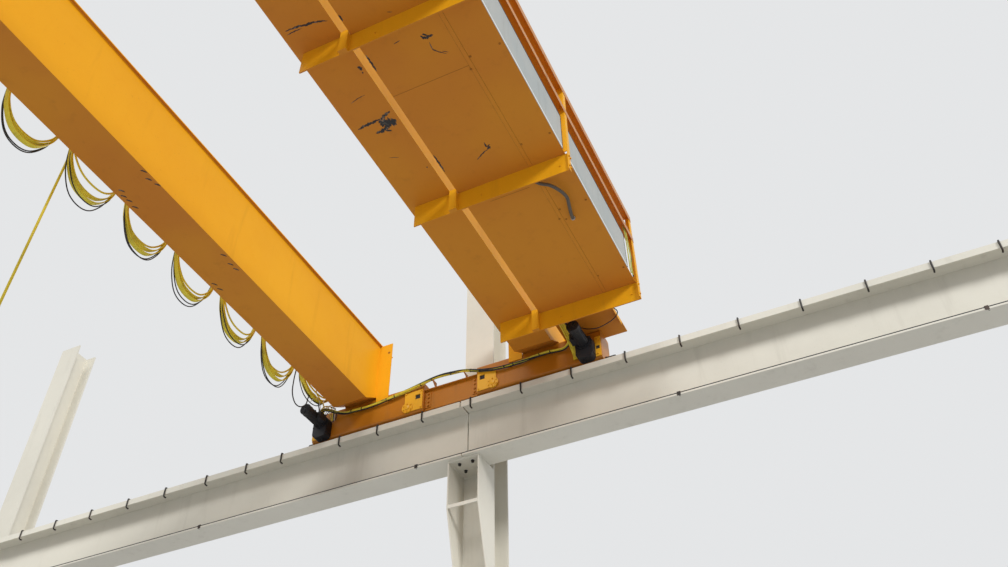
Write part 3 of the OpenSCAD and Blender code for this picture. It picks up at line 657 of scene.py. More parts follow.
def festoon():
    """Flat yellow cables, a round yellow one and two thin black ones over the carriers."""
    flat, thin = flat_outline(0.060, 0.011, 6), circle(0.0065, 8)
    cords = [("festoon_flat_outer", flat, 0.060, 0.0, 0.0, -0.020, 0.0, yellow_sheath),
             ("festoon_flat_inner", flat, 0.060, -0.055, 0.004, -0.006, 0.0, yellow_sheath),
             ("festoon_round_yellow", circle(0.010, 10), 0.020, -0.12, 0.018, 0.014, SWAY, yellow_sheath),
             ("festoon_black_outer", thin, 0.013, 0.085, -0.024, 0.012, SWAY, black_sheath),
             ("festoon_black_inner", thin, 0.013, 0.055, -0.008, 0.012, SWAY, black_sheath)]
    for name, outline, width, deeper, aside, lift, sway, finish in cords:
        path = smooth_path(festoon_route(deeper, aside, lift, sway), 0.025)
        made = piece(name, swept(path, outline, (1, 0, 0)), finish)
        if name == "festoon_flat_outer":
            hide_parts("festoon_cables")


festoon()

PENDANT_X = -2.012
PENDANT_Y = 2.1
PENDANT_TOP = 9.29
STATION_TOP = 1.42


def pendant():
    """The pendant cable hangs straight from its hook to the push button station."""
    path = np.linspace((PENDANT_X, PENDANT_Y, PENDANT_TOP), (PENDANT_X, PENDANT_Y, STATION_TOP), 90)
    made = piece("pendant_cable_sheath", tube(path, 0.0125, 14), yellow_sheath)
    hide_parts("pendant_cable")


pendant()

# Middle line of the bundle along a carriage: x from the carriage's middle, y from its face and
# z from the ground
CABLE_OFF = -0.0383
TRUCK_CABLE = [(-1.742, -0.225, 8.866), (-1.742, -0.225, 8.898), (-1.704, -0.198, 8.932),
               (-1.664, -0.136, 8.946), (-1.600, -0.070, 8.942), (-1.515, CABLE_OFF, 8.929),
               (-1.380, CABLE_OFF, 8.918), (-1.220, CABLE_OFF, 8.911), (-1.065, CABLE_OFF, 8.913),
               (-0.860, CABLE_OFF, 8.938), (-0.595, CABLE_OFF, 8.978), (-0.375, CABLE_OFF, 9.016),
               (-0.220, CABLE_OFF, 9.044), (-0.100, CABLE_OFF, 9.052), (0.0, CABLE_OFF, 9.046),
               (0.220, CABLE_OFF, 9.015), (0.435, CABLE_OFF, 8.946), (0.600, CABLE_OFF, 8.908),
               (0.705, CABLE_OFF, 8.895), (0.820, CABLE_OFF, 8.890), (0.975, CABLE_OFF, 8.892),
               (1.140, CABLE_OFF, 8.905), (1.305, CABLE_OFF, 8.911), (1.400, CABLE_OFF, 8.903),
               (1.525, CABLE_OFF, 8.890), (1.600, -0.070, 8.896), (1.664, -0.136, 8.908),
               (1.704, -0.198, 8.916), (1.742, -0.225, 8.892), (1.742, -0.225, 8.866)]


def strands(path, radius, around, turns, sixths, lead=0.0):
    """Strands wound round a middle line: path + around (cos a N + sin a B), a growing with the
    length, and slowly breathing in and out. Each starts at some sixths of a turn."""
    t = unit(np.gradient(path, axis=0))
    side = np.array([0, 1.0, 0])
    n = unit(side - (t @ side)[:, None] * t)
    b = np.cross(t, n)
    s = run_along(path)
    made = []
    for phase in 2 * np.pi * np.array(sixths) / 6 + lead:
        a = phase + 2 * np.pi * turns * s / s[-1] + 0.5 * np.sin(5.1 * s + 3 * phase)
        r = around * (1 + 0.12 * np.sin(3.3 * s + phase))
        aside = np.cos(a)[:, None] * n + np.sin(a)[:, None] * b
        made.append(tube(path + r[:, None] * aside, radius, 8, side))
    return made


def truck_cables():
    """Bundle along each end carriage: yellow, black and green strands with black ties."""
    path = smooth_path(np.array(TRUCK_CABLE) + [crane_x, TRUCK_FACE, 0], 0.03)
    yellow = strands(path, 0.0080, 0.0135, 1.4, (0, 1, 2)) + strands(path, 0.006, 0.001, 1.0, (0,))
    black = strands(path, 0.0075, 0.0155, 1.4, (3, 4, 5), 0.15)
    green = strands(path, 0.0045, 0.0165, 3.1, (1.5, 4.5))
    made = piece("truck_bundle_yellow", both_ends(yellow), yellow_sheath)
    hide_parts("truck_cables")
    piece("truck_bundle_black", both_ends(black), black_sheath)
    piece("truck_bundle_green", both_ends(green), green_sheath)
    k = np.arange((len(path) - 16) // 8)
    at = 8 + 8 * k + np.round(2.4 * np.sin(2.7 * k)).astype(int)
    t = unit(np.gradient(path, axis=0))
    tie = revolved([(0.0205, -0.004), (0.0225, -0.004), (0.0225, 0.004), (0.0205, 0.004)], 14)
    ties = placed(tie, [spot(path[i], t[i], UP) for i in at])
    piece("truck_bundle_ties", both_ends(ties), black_rubber_and_shade)


truck_cables()


# Fasteners, welds and marks

def bolt(width, reach=0.0):
    """Hexagon head of a width on its washer, standing on z = 0. With a reach it is a nut, and the
    end of its stud stands out by that much."""
    washer = revolved([(0.62 * width, 0), (0.62 * width, 0.12 * width)], 18)
    head, faces = prism(circle(width / math.sqrt(3), 6), 0.6 * width, 0.05 * width)
    shapes = [washer, (head + [0, 0, 0.12 * width], faces)]
    if reach:
        top = 0.72 * width + reach
        shapes.append(revolved([(0.28 * width, 0.6 * width), (0.28 * width, top - 0.06 * width),
                                (0.21 * width, top)], 12))
    return joined(shapes)


def bolts(places, width, way, reach=0.0):
    """The same bolt at many places, with its head pointing one way."""
    return at_each(bolt(width, reach), places, way)


def fillet(start, end, one, other, leg):
    """Weld bead in a corner: its section runs leg along one face and leg along the other,
    with a hollow between, and swells by 8 percent in slow waves."""
    one, other, start, end = (np.asarray(v, float) for v in (one, other, start, end))
    if np.cross(one, other) @ (end - start) < 0:
        one, other = other, one
    t = np.linspace(0, 1, 60)[:, None, None]
    size = leg * (1 + 0.08 * np.sin(47 * t) * np.cos(31 * t))
    section = np.array([(0, 0), (1, 0), (0.36, 0.36), (0, 1)])[None]
    corner = section[..., :1] * one + section[..., 1:] * other
    return loft(start + (end - start) * t + size * corner)


def scuff(points, width, z, phase):
    """Ragged patch on an underside, along given (x, y) points. Its half width is
    width sqrt(sin(pi t)) (1 + sines of the length), with other sines on each edge."""
    p = smooth_path(np.c_[points, np.full(len(points), z)], 0.004)
    left = np.cross([0, 0, 1.0], unit(np.gradient(p, axis=0)))
    s = np.linspace(0, 1, len(p))
    swell = np.sqrt(np.maximum(np.sin(np.pi * s), 0.0))
    edges = []
    for side, a in zip(SIDES, (phase, phase + 1.9)):
        ragged = (1 + 0.30 * np.sin(23 * s + a) + 0.22 * np.sin(57 * s + 2 * a)
                  + 0.16 * np.sin(131 * s + a))
        edges.append(p + side * (width * swell * ragged)[:, None] * left)
    return sheet(np.stack(edges, 1))


# Runway

# Rod of a hook bolt: y out from the rail's middle and z up from the cap
HOOK = [(0.012, 0.036), (0.05, 0.033), (0.12, 0.025), (0.205, 0.014), (0.232, 0.011),
        (0.2395, -0.005), (0.2395, -0.09), (0.236, -0.112), (0.222, -0.120), (0.195, -0.118)]
HOOK_X = np.array([-7.65, -7.01, -6.375, -5.73, -5.08, -4.44, -3.76, -3.12, -2.57, -1.70, -1.15,
                   -0.52, 0.14, 0.80, 1.44, 2.10, 2.745, 3.41, 4.095, 4.78, 5.44, 6.10, 6.76,
                   7.42, 7.95])
WIRE_CLIP_X = (-6.887, -3.757, -0.6, 2.62, 5.747)
BASE_TOP = 0.04
ANCHOR = 0.26  # anchor nuts from a column's middle
STOP_FEET = [-8.43, -8.36, 8.36, 8.43]
BRACKET_HALF = 0.2
PLATE = 0.014

flange_top = beam_low + 0.022
seat_low = beam_low - 0.025
bar_low = seat_low - 0.6
bracket_foot = span_of("brackets_far", 2)[0]
bracket_front, bracket_face = span_of("brackets_far", 1)


def hook_bolts():
    """Rods bent round the edge of the cap, each with a nut at the rail. On the column's side
    there is none at the middle column, where the tie back is."""
    y, z = np.transpose(HOOK)
    path = smooth_path(np.stack([np.zeros(len(HOOK)), -y, z], -1), 0.01)
    inner = joined([tube(path, 0.010, 10), bolts([(0, -0.008, 0.0365)], 0.03, (0, -1, -0.08))])
    outer = (inner[0] * [-1, -1, 1], inner[1])
    clear = HOOK_X[np.abs(HOOK_X) > 0.2]
    hooks = [at_each(shape, rows(x, [RAIL_Y], [cap_top])) for shape, x in ((inner, HOOK_X), (outer, clear))]
    piece("hook_bolts", both_ends(hooks), dark_bolt, RUNWAY)


def bracket_bolts():
    """Bolts up through each bracket's seat, and their nuts on the beam's lower flange."""
    x = (COLUMNS[:, None] + [-0.085, 0.085]).ravel()
    y = [6.885, 7.045]
    seat = [bolts(rows(x, y, [seat_low]), 0.034, DOWN),
            bolts(rows(x, y, [flange_top]), 0.034, UP, reach=0.02)]
    piece("bracket_bolts", both_ends(seat), dark_bolt, RUNWAY)


def open_brackets():
    """Brackets with an open front: a seat, two sides that taper to a foot on the column, and a
    bar between the sides' front edges. They take the place of the frame's."""
    inner = BRACKET_HALF - PLATE
    side = prism([(bracket_front, bar_low), (bracket_face, bracket_foot), (bracket_face, seat_low),
                  (bracket_front, seat_low)], PLATE, 0.001)
    plates = [placed(side, [spot((c + x, 0, 0), (1, 0, 0), (0, 1, 0))
                            for c in COLUMNS for x in (-BRACKET_HALF, inner)])]
    for c in COLUMNS:
        plates.append(block((c - BRACKET_HALF, bracket_front, seat_low),
                            (c + BRACKET_HALF, bracket_face, beam_low)))
        plates.append(block((c - inner, bracket_front, bar_low),
                            (c + inner, bracket_front + PLATE, bar_low + 0.045)))
    far = joined(plates)
    for name, shape in (("far", far), ("near", mirrored(far))):
        made = piece(f"open_brackets_{name}", shape, runway_paint, RUNWAY)
        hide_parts(f"brackets_{name}")


def foot_bolts():
    """Anchor nuts of the columns' base plates, and bolts of the end stops' feet."""
    corners = rows([-ANCHOR, ANCHOR], [-ANCHOR, ANCHOR], [0])
    anchors = (rows(COLUMNS, [COLUMN_Y], [BASE_TOP])[:, None] + corners).reshape(-1, 3)
    piece("anchor_nuts", both_ends(bolts(anchors, 0.055, UP, reach=0.06)),
          dark_bolt, RUNWAY)
    feet = rows(STOP_FEET, [RAIL_Y - 0.03, RAIL_Y + 0.03], [cap_top + 0.02])
    piece("end_stop_bolts", both_ends(bolts(feet, 0.03, UP, reach=0.01)),
          dark_bolt, RUNWAY)


def runway_welds():
    """Weld beads of the beam's web and cap, in two lengths that leave the joint free, of the
    brackets and of the columns' feet."""
    beads = []
    for a, b in ((-8.49, -0.01), (0.01, 8.49)):
        for s in SIDES:
            for out, z, way, leg in ((0.008, flange_top, UP, 0.010),
                                     (0.1665, cap_top - 0.012, DOWN, 0.008)):
                y = RAIL_Y + s * out
                beads.append(fillet((a, y, z), (b, y, z), (0, s, 0), way, leg))
    for c in COLUMNS:
        for s in SIDES:
            x = c + s * (BRACKET_HALF - PLATE)
            beads.append(fillet((x, bracket_face, bracket_foot + 0.01), (x, bracket_face, bar_low - 0.005),
                                (-s, 0, 0), INWARD, 0.008))
            beads.append(fillet((x, bracket_front + 0.005, seat_low), (x, bracket_face - 0.005, seat_low),
                                (-s, 0, 0), DOWN, 0.008))
            y = COLUMN_Y + s * 0.2
            beads.append(fillet((c - 0.3, y, BASE_TOP), (c + 0.3, y, BASE_TOP), (0, s, 0), UP, 0.012))
        beads.append(fillet((c - 0.18, bracket_face, seat_low), (c + 0.18, bracket_face, seat_low),
                            INWARD, DOWN, 0.008))
    piece("runway_welds", both_ends(beads), runway_paint, RUNWAY, crease=60)


def flange_wire():
    """A wire along the edge of the far beam's lower flange, and the clips that hold it."""
    edge = span_of("runway_beam_far", 1)[0]
    y, z = edge + 0.003, flange_top + 0.0067
    path = np.linspace((-8.3, y, z), (8.3, y, z), 40)
    wire = piece("flange_wire", tube(path, 0.0065, 10, (0, 1, 0)), black_sheath, RUNWAY)
    tail = [(0.0, -0.003, -0.028), (0.004, -0.004, -0.040), (0.010, -0.005, -0.046),
            (0.018, -0.006, -0.044)]
    grip = joined([block((-0.020, -0.006, -0.030), (0.020, 0.0, 0.020), 0.001),
                   block((-0.020, 0.0, 0.0145), (0.020, 0.030, 0.020), 0.001),
                   tube(tail, 0.003, 8, (0, 1, 0))])
    piece("wire_clips", at_each(grip, rows(WIRE_CLIP_X, [edge - HAIR], [flange_top])),
          dark_bolt, RUNWAY)


hook_bolts()
bracket_bolts()
open_brackets()
foot_bolts()
runway_welds()
flange_wire()


# Girders

RAIL_CLIP_Y = np.arange(-6.6, 6.7, 0.6)
EAR_X = 0.375  # hole in a girder's ear, from the girder's middle
EAR_Y, EAR_Z = 6.778, 9.74
STOP_HIGH = 0.16


def girder_fittings():
    """Weld beads of the girders, clips and stops of the trolley rails, and darker discs on the ears, painted
    shade of their holes.
    """
    beads, clips, stops = [], [], []
    straight = TRUCK_FACE - 0.235  # the lower flange is straight up to here
    clip = joined([block((0.0, -0.03, 0.0), (0.07, 0.03, 0.012)), bolts([(0.042, 0, 0.012)], 0.024, UP)])
    for x in (left_x, right_x):
        for s in SIDES:
            face = x + s * WEB_OUT
            for end, z, way in ((straight, girder_low + FLANGE, UP), (girder_end, girder_top - FLANGE, DOWN)):
                beads.append(fillet((face, -end, z), (face, end, z), (s, 0, 0), way, 0.008))
            clips.append(placed(clip, [spot((x + s * 0.0255, y, girder_top), UP, (s, 0, 0))
                                       for y in RAIL_CLIP_Y]))
            y = s * RAIL_Y
            stops.append(block((x - 0.06, y - 0.01, girder_top + 0.0005),
                               (x + 0.06, y + 0.01, girder_top + STOP_HIGH)))
    piece("girder_welds", beads, crane_paint, crease=60)
    piece("trolley_rail_clips", clips, dark_bolt)
    piece("trolley_stops", stops, crane_paint)
    # a thin darker disc on each ear: painted shade of its hole
    hole = revolved([(0.0, 0), (0.018, 0), (0.018, 0.0006)], 24)
    ears = [(left_x + EAR_X, EAR_Y, EAR_Z), (right_x - EAR_X, EAR_Y, EAR_Z)]
    piece("ear_holes", both_ends(at_each(hole, ears, INWARD)), rust_and_shade)


girder_fittings()


# Walkway

STRIP_IN, STRIP_OUT = 2.134, 2.170  # edges of the strip over the floor's long joint
STRIP_DEPTH = 0.003
SEAM_Y = (2.719, -0.881, -4.481)
PANEL_GAP = 0.075  # from a bay's start to its side panel
END_GAP = 0.28     # the same at the walkway's ends
PANEL_HIGH = 0.515
DARK_EDGE = 0.012
# Rivets of each bay: x, y from the bay's start, and whether the strip is under the head
BAY_RIVETS = [(2.185, 0.63, False), (2.132, 0.749, True), (2.181, 1.712, False),
              (2.474, 0.625, False), (2.478, 1.708, False)]
LONE_RIVETS = [(1.511, 4.213), (2.085, 4.213), (2.192, 4.806)]


def floor_underside():
    """Joint strips, seams and rivets under the walkway's floor."""
    skin = floor_z - HAIR
    strips = [block((STRIP_IN, y + 0.02, floor_z - STRIP_DEPTH), (STRIP_OUT, y + BAY - 0.02, skin), 0.001)
              for y in bay_starts]
    piece("floor_joint_strips", strips, crane_paint)
    seams = [block((walk_in + 0.01, y - 0.0025, floor_z - 0.0012), (STRIP_IN, y + 0.0025, skin), 0.0005)
             for y in SEAM_Y]
    seams += [block((x - 0.0015, y + 0.02, floor_z - 0.0016), (x + 0.0015, y + BAY - 0.02, skin), 0.0004)
              for y in bay_starts for x in (STRIP_IN - 0.0015, STRIP_OUT + 0.0015)]
    seams.append(block((1.60, 4.245, floor_z - 0.0012), (2.03, 4.251, skin), 0.0005))
    piece("floor_seams", seams, rust_and_shade)
    heads = [(x, start + y, floor_z - STRIP_DEPTH * on_strip)
             for start in bay_starts for x, y, on_strip in BAY_RIVETS]
    heads += [(x, y, floor_z) for x, y in LONE_RIVETS]
    rivet = revolved([(0.011, 0), (0.011, 0.003), (0.007, 0.006)], 10)
    piece("floor_rivets", at_each(rivet, heads, DOWN), rust_and_shade)


# Scuffs under the right girder: points, half width, phase and how many others it lies on
GIRDER_SCUFFS = [
    ([(0.847, 1.749), (0.947, 1.752), (1.038, 1.769), (1.146, 1.785), (1.238, 1.82)], 0.010, 0.3, 0),
    ([(0.841, 1.786), (0.914, 1.781), (0.994, 1.784)], 0.005, 1.3, 0),
    ([(0.855, 2.926), (0.94, 2.913), (1.013, 2.912), (1.110, 2.905)], 0.014, 2.3, 0),
    ([(1.078, 2.925), (1.125, 2.965), (1.189, 2.985), (1.238, 2.975)], 0.046, 0.9, 1),
    ([(1.105, 2.925), (1.15, 2.895), (1.235, 2.868)], 0.015, 4.0, 2),
    ([(1.150, 2.96), (1.118, 3.01), (1.057, 3.035), (0.986, 3.033)], 0.018, 5.1, 2),
    ([(1.085, 3.045), (1.139, 3.071)], 0.010, 0.2, 0),
    ([(1.215, 2.326), (1.236, 2.345), (1.229, 2.375)], 0.014, 1.1, 0),
    ([(1.222, 2.395), (1.235, 2.403)], 0.009, 2.2, 0),
    ([(0.955, 2.639), (1.048, 2.618), (1.122, 2.613)], 0.0035, 3.1, 0),
    ([(0.951, 3.341), (1.038, 3.383)], 0.0025, 0.4, 0),
    ([(1.216, 3.600), (1.228, 3.614)], 0.008, 0.4, 0)]
# Scuffs under the floor: points, half width and phase
FLOOR_SCUFFS = [
    ([(1.888, 2.269), (1.915, 2.305), (1.960, 2.305), (1.997, 2.309)], 0.014, 0.4),
    ([(1.910, 2.265), (1.945, 2.285)], 0.010, 1.4),
    ([(1.932, 2.354), (1.925, 2.436), (1.978, 2.498), (2.012, 2.527)], 0.005, 2.4),
    ([(1.985, 2.485), (2.035, 2.520)], 0.003, 0.9),
    ([(1.642, 2.242), (1.711, 2.233)], 0.004, 3.4),
    ([(1.717, 3.711), (1.807, 3.659), (1.872, 3.636)], 0.006, 4.4),
    ([(1.866, 3.636), (1.905, 3.615)], 0.014, 5.4),
    ([(1.873, 3.548), (1.872, 3.600), (1.914, 3.594)], 0.008, 0.7),
    ([(1.747, 1.945), (1.791, 1.967)], 0.003, 1.7)]
EDGE_SCUFFS = ((1.79, 0.07), (2.23, 0.19), (3.47, 0.24), (4.03, 0.05))
LEFT_SCUFFS = ((-1.297, 2.438), (-1.322, 2.54), (-1.289, 2.634), (-1.663, 2.54), (-1.695, 2.606),
               (-1.686, 2.677), (-1.691, 2.772), (-1.314, 3.719), (-1.331, 3.863), (-1.325, 3.951),
               (-1.681, 4.041), (-1.677, 4.132))


def underside_marks():
    """Scuffs under the girders and the floor, along the floor's inner edge, and short slanted
    ones under the left girder."""
    under_girder, under_floor = girder_low - 0.0006, floor_z - 0.0006
    marks = [scuff(p, w, under_girder - 0.0001 * layer, a) for p, w, a, layer in GIRDER_SCUFFS]
    marks += [scuff(p, w, under_floor, a) for p, w, a in FLOOR_SCUFFS]
    marks += [scuff([(1.367, y), (1.368, y + 0.5 * length), (1.367, y + length)], 0.009, under_floor, y)
              for y, length in EDGE_SCUFFS]
    marks += [scuff([(x - 0.020, y - 0.02), (x + 0.005, y + 0.005), (x + 0.022, y + 0.035)], 0.009,
                    under_girder, y) for x, y in LEFT_SCUFFS]
    piece("underside_marks", marks, black_smear)


def panels_and_rails():
    """Dark strips along the panels' tops and ends, lips of the side panels, bolts of the posts and beams, and
    facings of the rails in painted shade.
    """
    starts, ends = bay_starts + PANEL_GAP, bay_starts + BAY - PANEL_GAP
    starts[0], ends[-1] = bay_starts[0] + END_GAP, bay_starts[-1] + BAY - END_GAP
    face = walk_out + 0.004
    dark_edges = []
    # dark strips along each panel's top and both ends
    for a, b in zip(starts, ends):
        for y0, y1, low in ((a, b, PANEL_HIGH - DARK_EDGE), (a, a + 0.008, 0), (b - 0.008, b, 0)):
            dark_edges.append(block((face + HAIR, y0, floor_z + low),
                               (face + 0.0022, y1, floor_z + PANEL_HIGH), 0.0006))
    piece("panel_dark_edges", dark_edges, black_rubber_and_shade)

    out = span_of("rail_posts", 0)[1]
    y = bay_starts[1:]
    posts = rows([out], np.r_[y + 0.018, y - 0.018, -walk_end + 0.04, walk_end - 0.04],
                 [floor_z - 0.20, floor_z - 0.06])
    beams = rows([1.616, 2.454], np.r_[y - 0.006, walk_end - 0.012, -walk_end], [floor_z - 0.149])
    piece("walkway_bolts", [bolts(posts, 0.018, (1, 0, 0)), bolts(beams, 0.014, INWARD)],
          crane_paint)

    top = span_of("hand_rails", 2)[1]
    # thin facings over the rails' outer faces, in the darker carriage enamel: painted shade on the rails
    facings = [block((out + HAIR, -walk_end, z), (out + 0.0042, walk_end, z + high), 0.0008)
               for z, high in ((top - 0.086, 0.087), (top - 0.425, 0.074))]
    piece("rail_facings", facings, truck_shaded_paint)
    lips = [block((face - HAIR, a + 0.01, floor_z + 0.003),
                  (face + 0.0018, b - 0.01, floor_z + 0.030), 0.0005) for a, b in zip(starts, ends)]
    piece("panel_lips", lips, button_white)


floor_underside()
underside_marks()
panels_and_rails()


# Loose cables

HOSE_RING = 0.016  # from one ring of a ribbed hose to the next


def loose_cord(name, points, radius, finish, ripple=0.0, sides=12):
    """A round cord through given points. With a ripple its radius swells in rings, as
    radius (1 + ripple sin(2 pi length / ring))."""
    path = smooth_path(points, 0.004 if ripple else 0.015)
    outline = circle(radius, sides)
    if ripple:
        rings = 1 + ripple * np.sin(2 * np.pi * run_along(path) / HOSE_RING)
        outline = outline * rings[:, None, None]
    made = piece(name, swept(path, outline, (0.2, 0.3, 1)), finish)


def floor_hose():
    """A ribbed hose looped under the floor, with its nut."""
    loose_cord("floor_hose", [
        (2.06, 4.12, 8.842), (2.11, 4.165, 8.826), (2.168, 4.212, 8.805), (2.245, 4.262, 8.793),
        (2.307, 4.365, 8.790), (2.333, 4.475, 8.792), (2.308, 4.600, 8.801), (2.281, 4.715, 8.815),
        (2.268, 4.790, 8.832), (2.264, 4.825, 8.856)], 0.0175, grey_sheath, 0.05, 14)
    nut = at_each(prism(circle(0.024, 6), 0.026, 0.002), [(2.2665, 4.800, 8.834)], (-0.02, 0.66, 0.75))
    piece("hose_fitting", nut, galvanised)


def motor_cords():
    """A lead between the right drive's boxes, and loops, a pale wire and curls by the left one."""
    loose_cord("drive_lead", [
        (2.092, 6.46, 9.02), (2.12, 6.53, 9.005), (2.066, 6.6, 8.990), (1.956, 6.6, 8.933),
        (1.83, 6.6, 8.911), (1.707, 6.6, 8.945), (1.640, 6.595, 8.985), (1.592, 6.56, 8.965),
        (1.574, 6.535, 8.915), (1.572, 6.53, 8.872)], 0.006, black_sheath)
    loose_cord("motor_loop_low", [
        (-1.952, 6.540, 8.871), (-1.952, 6.515, 8.950), (-1.946, 6.420, 9.045), (-1.942, 6.320, 9.030),
        (-1.942, 6.268, 8.936), (-1.942, 6.238, 8.803), (-1.942, 6.138, 8.700), (-1.944, 6.030, 8.690),
        (-1.948, 5.955, 8.800), (-1.950, 5.945, 9.000), (-1.948, 5.957, 9.180), (-1.944, 5.962, 9.262)],
        0.0075, black_sheath)
    loose_cord("motor_loop_yellow", [
        (-1.930, 6.585, 8.872), (-1.925, 6.600, 8.940), (-1.926, 6.560, 9.015), (-1.932, 6.470, 9.052),
        (-1.938, 6.400, 9.100), (-1.944, 6.440, 9.170), (-1.946, 6.560, 9.160), (-1.946, 6.680, 9.150),
        (-1.944, 6.745, 9.200), (-1.943, 6.757, 9.262)], 0.0085, yellow_sheath)
    loose_cord("motor_loop_high", [
        (-1.962, 6.560, 8.871), (-1.966, 6.590, 8.950), (-1.958, 6.640, 9.030), (-1.945, 6.720, 9.085),
        (-1.925, 6.800, 9.098), (-1.900, 6.800, 9.085), (-1.888, 6.768, 9.030), (-1.886, 6.760, 8.940),
        (-1.888, 6.766, 8.850)], 0.0070, black_sheath)
    loose_cord("motor_wire_pale", [
        (-1.935, 6.530, 8.869), (-1.918, 6.500, 8.930), (-1.905, 6.440, 8.985), (-1.915, 6.380, 8.980),
        (-1.940, 6.345, 8.940), (-1.962, 6.345, 8.905)], 0.0040, pale_sheath)
    curls = [(6.700, 0.0, 9.035, yellow_sheath), (6.725, 0.018, 9.055, pale_sheath),
             (6.660, -0.014, 9.010, yellow_sheath), (6.745, 0.034, 9.000, black_sheath)]
    for k, (y, dx, high, finish) in enumerate(curls):
        loose_cord(f"drive_curl_{k + 1}", [
            (-1.925, y - 0.10, 8.872), (-1.915 + dx, y - 0.10, 8.930), (-1.905 + dx, y - 0.07, high - 0.02),
            (-1.895 + dx, y - 0.01, high), (-1.885 + dx, y + 0.03, high - 0.04),
            (-1.885 + dx, y + 0.03, 8.935), (-1.890 + dx, 6.764, 8.870)], 0.0055, finish)


def landing_and_post_cords():
    """Four cables from the landing down to the drive, and three tied beside the last post."""
    for k, (dx, dz) in enumerate(((0, 0), (0.024, 0.004), (0.049, -0.002), (0.073, 0.006))):
        loose_cord(f"landing_cable_{k + 1}", [
            (1.395 + dx, 6.33, 9.040), (1.412 + dx, 6.38, 9.020 + dz), (1.434 + dx, 6.45, 8.985 + dz),
            (1.446 + dx, 6.55, 8.930 + dz), (1.452 + dx * 0.9, 6.66, 8.868 + dz),
            (1.456 + dx * 0.8, 6.735, 8.810), (1.459 + dx * 0.7, 6.768, 8.760),
            (1.461 + dx * 0.7, 6.778, 8.700)], 0.0105, yellow_sheath if k < 3 else black_sheath)
    for k, (y, dx, finish) in enumerate(((5.80, 0.0, green_sheath), (5.835, 0.008, green_sheath),
                                         (5.865, 0.002, black_sheath))):
        loose_cord(f"post_cable_{k + 1}", [
            (2.520 + dx, y - 0.03, 9.530), (2.522 + dx, y, 9.44), (2.524 + dx, y + 0.018, 9.30),
            (2.522 + dx, y + 0.03 + 0.02 * k, 9.16), (2.525 + dx, y + 0.02, 9.03),
            (2.523 + dx, y + 0.03, 8.93), (2.520 + dx, y + 0.06, 8.868)], 0.0065, finish)


floor_hose()
motor_cords()
landing_and_post_cords()


# End carriages: X is from a carriage's middle, Z from the ground

CAP_IN = TRUCK_FACE - 0.022  # outer faces of the bearing caps
CAP_OUT = RAIL_Y + 0.162
PLATE_FACE = TRUCK_FACE - 0.014
PLATE_WIDE = 0.25           # bearing plate by an inner wheel
WINDOW_X, WINDOW_Z = 0.449, 8.857  # middle of its square window
WINDOW_HALF = 0.0345
OUTER_X = 1.960             # bearing plate by an outer wheel
OUTER_HALF = 0.035
OUTER_LOW, OUTER_TOP = 8.655, 8.945
OUTER_BOLTS_Z = (8.69, 8.91)
SLOT_HALF = 0.022           # its window
SLOT_LOW, SLOT_TOP = 8.76, 8.805
CLEAT_X = (0.290, 0.3695)
CLEAT_FACES = (0.0902, 0.100)  # from the rail's middle
CLEAT_LOW, CLEAT_TOP = 8.68, 8.915
CLEAT_BOLTS_Z = [8.71, 8.765, 8.83, 8.885]
SEAT_HALF = 0.24            # under a girder

plate_low, plate_top = span_of("bearing_plates", 2)
plate_out = span_of("bearing_plates", 0)[1] - crane_x
plate_in = plate_out - PLATE_WIDE


def bearing_fittings():
    """Bolts and covers of the bearing caps, the plates by the outer wheels, thin black sheets in the
    windows of all the plates as painted shade of the openings, and their bolts."""
    inner = rows(crane_x + WHEELS[1:3], [CAP_IN], [axle_z])
    outer = rows(crane_x + WHEELS, [CAP_OUT], [axle_z])
    ring = np.insert(circle(0.056, 6, np.pi / 6), 1, 0, axis=1)
    dome = revolved([(0.034, 0), (0.034, 0.006), (0.026, 0.011), (0.010, 0.013)], 24)
    heads, covers = [], []
    for caps, way in ((inner, INWARD), (outer, OUTWARD)):
        heads.append(bolts((caps[:, None] + ring).reshape(-1, 3), 0.017, way))
        covers.append(at_each(dome, caps, way))
    piece("cap_bolts", both_ends(heads), plate_paint)
    piece("cap_covers", both_ends(covers), plate_paint)

    heads, windows, plates = [], [], []
    for s in SIDES:
        heads += [(crane_x + s * x, PLATE_FACE, z) for x in (plate_in + 0.018, plate_out - 0.018)
                  for z in (plate_low + 0.022, plate_top - 0.020)]
        x = crane_x + s * WINDOW_X
        # a thin black sheet in the window: painted shade of the opening
        windows.append(block((x - WINDOW_HALF, TRUCK_FACE - 0.0012, WINDOW_Z - WINDOW_HALF),
                             (x + WINDOW_HALF, TRUCK_FACE - HAIR, WINDOW_Z + WINDOW_HALF), 0.0003))
        x = crane_x + s * OUTER_X
        plates.append(block((x - OUTER_HALF, PLATE_FACE, OUTER_LOW),
                            (x + OUTER_HALF, TRUCK_FACE - HAIR, OUTER_TOP)))
        # the same painted shade in the outer plate's slot
        windows.append(block((x - SLOT_HALF, PLATE_FACE - 0.0008, SLOT_LOW),
                             (x + SLOT_HALF, PLATE_FACE - HAIR, SLOT_TOP), HAIR))
        heads += [(x, PLATE_FACE, z) for z in OUTER_BOLTS_Z]
    piece("outer_bearing_plates", both_ends(plates), plate_paint)
    piece("bearing_holes", both_ends(windows), black_rubber_and_shade)
    piece("plate_bolts", both_ends(bolts(heads, 0.018, INWARD)), plate_paint)


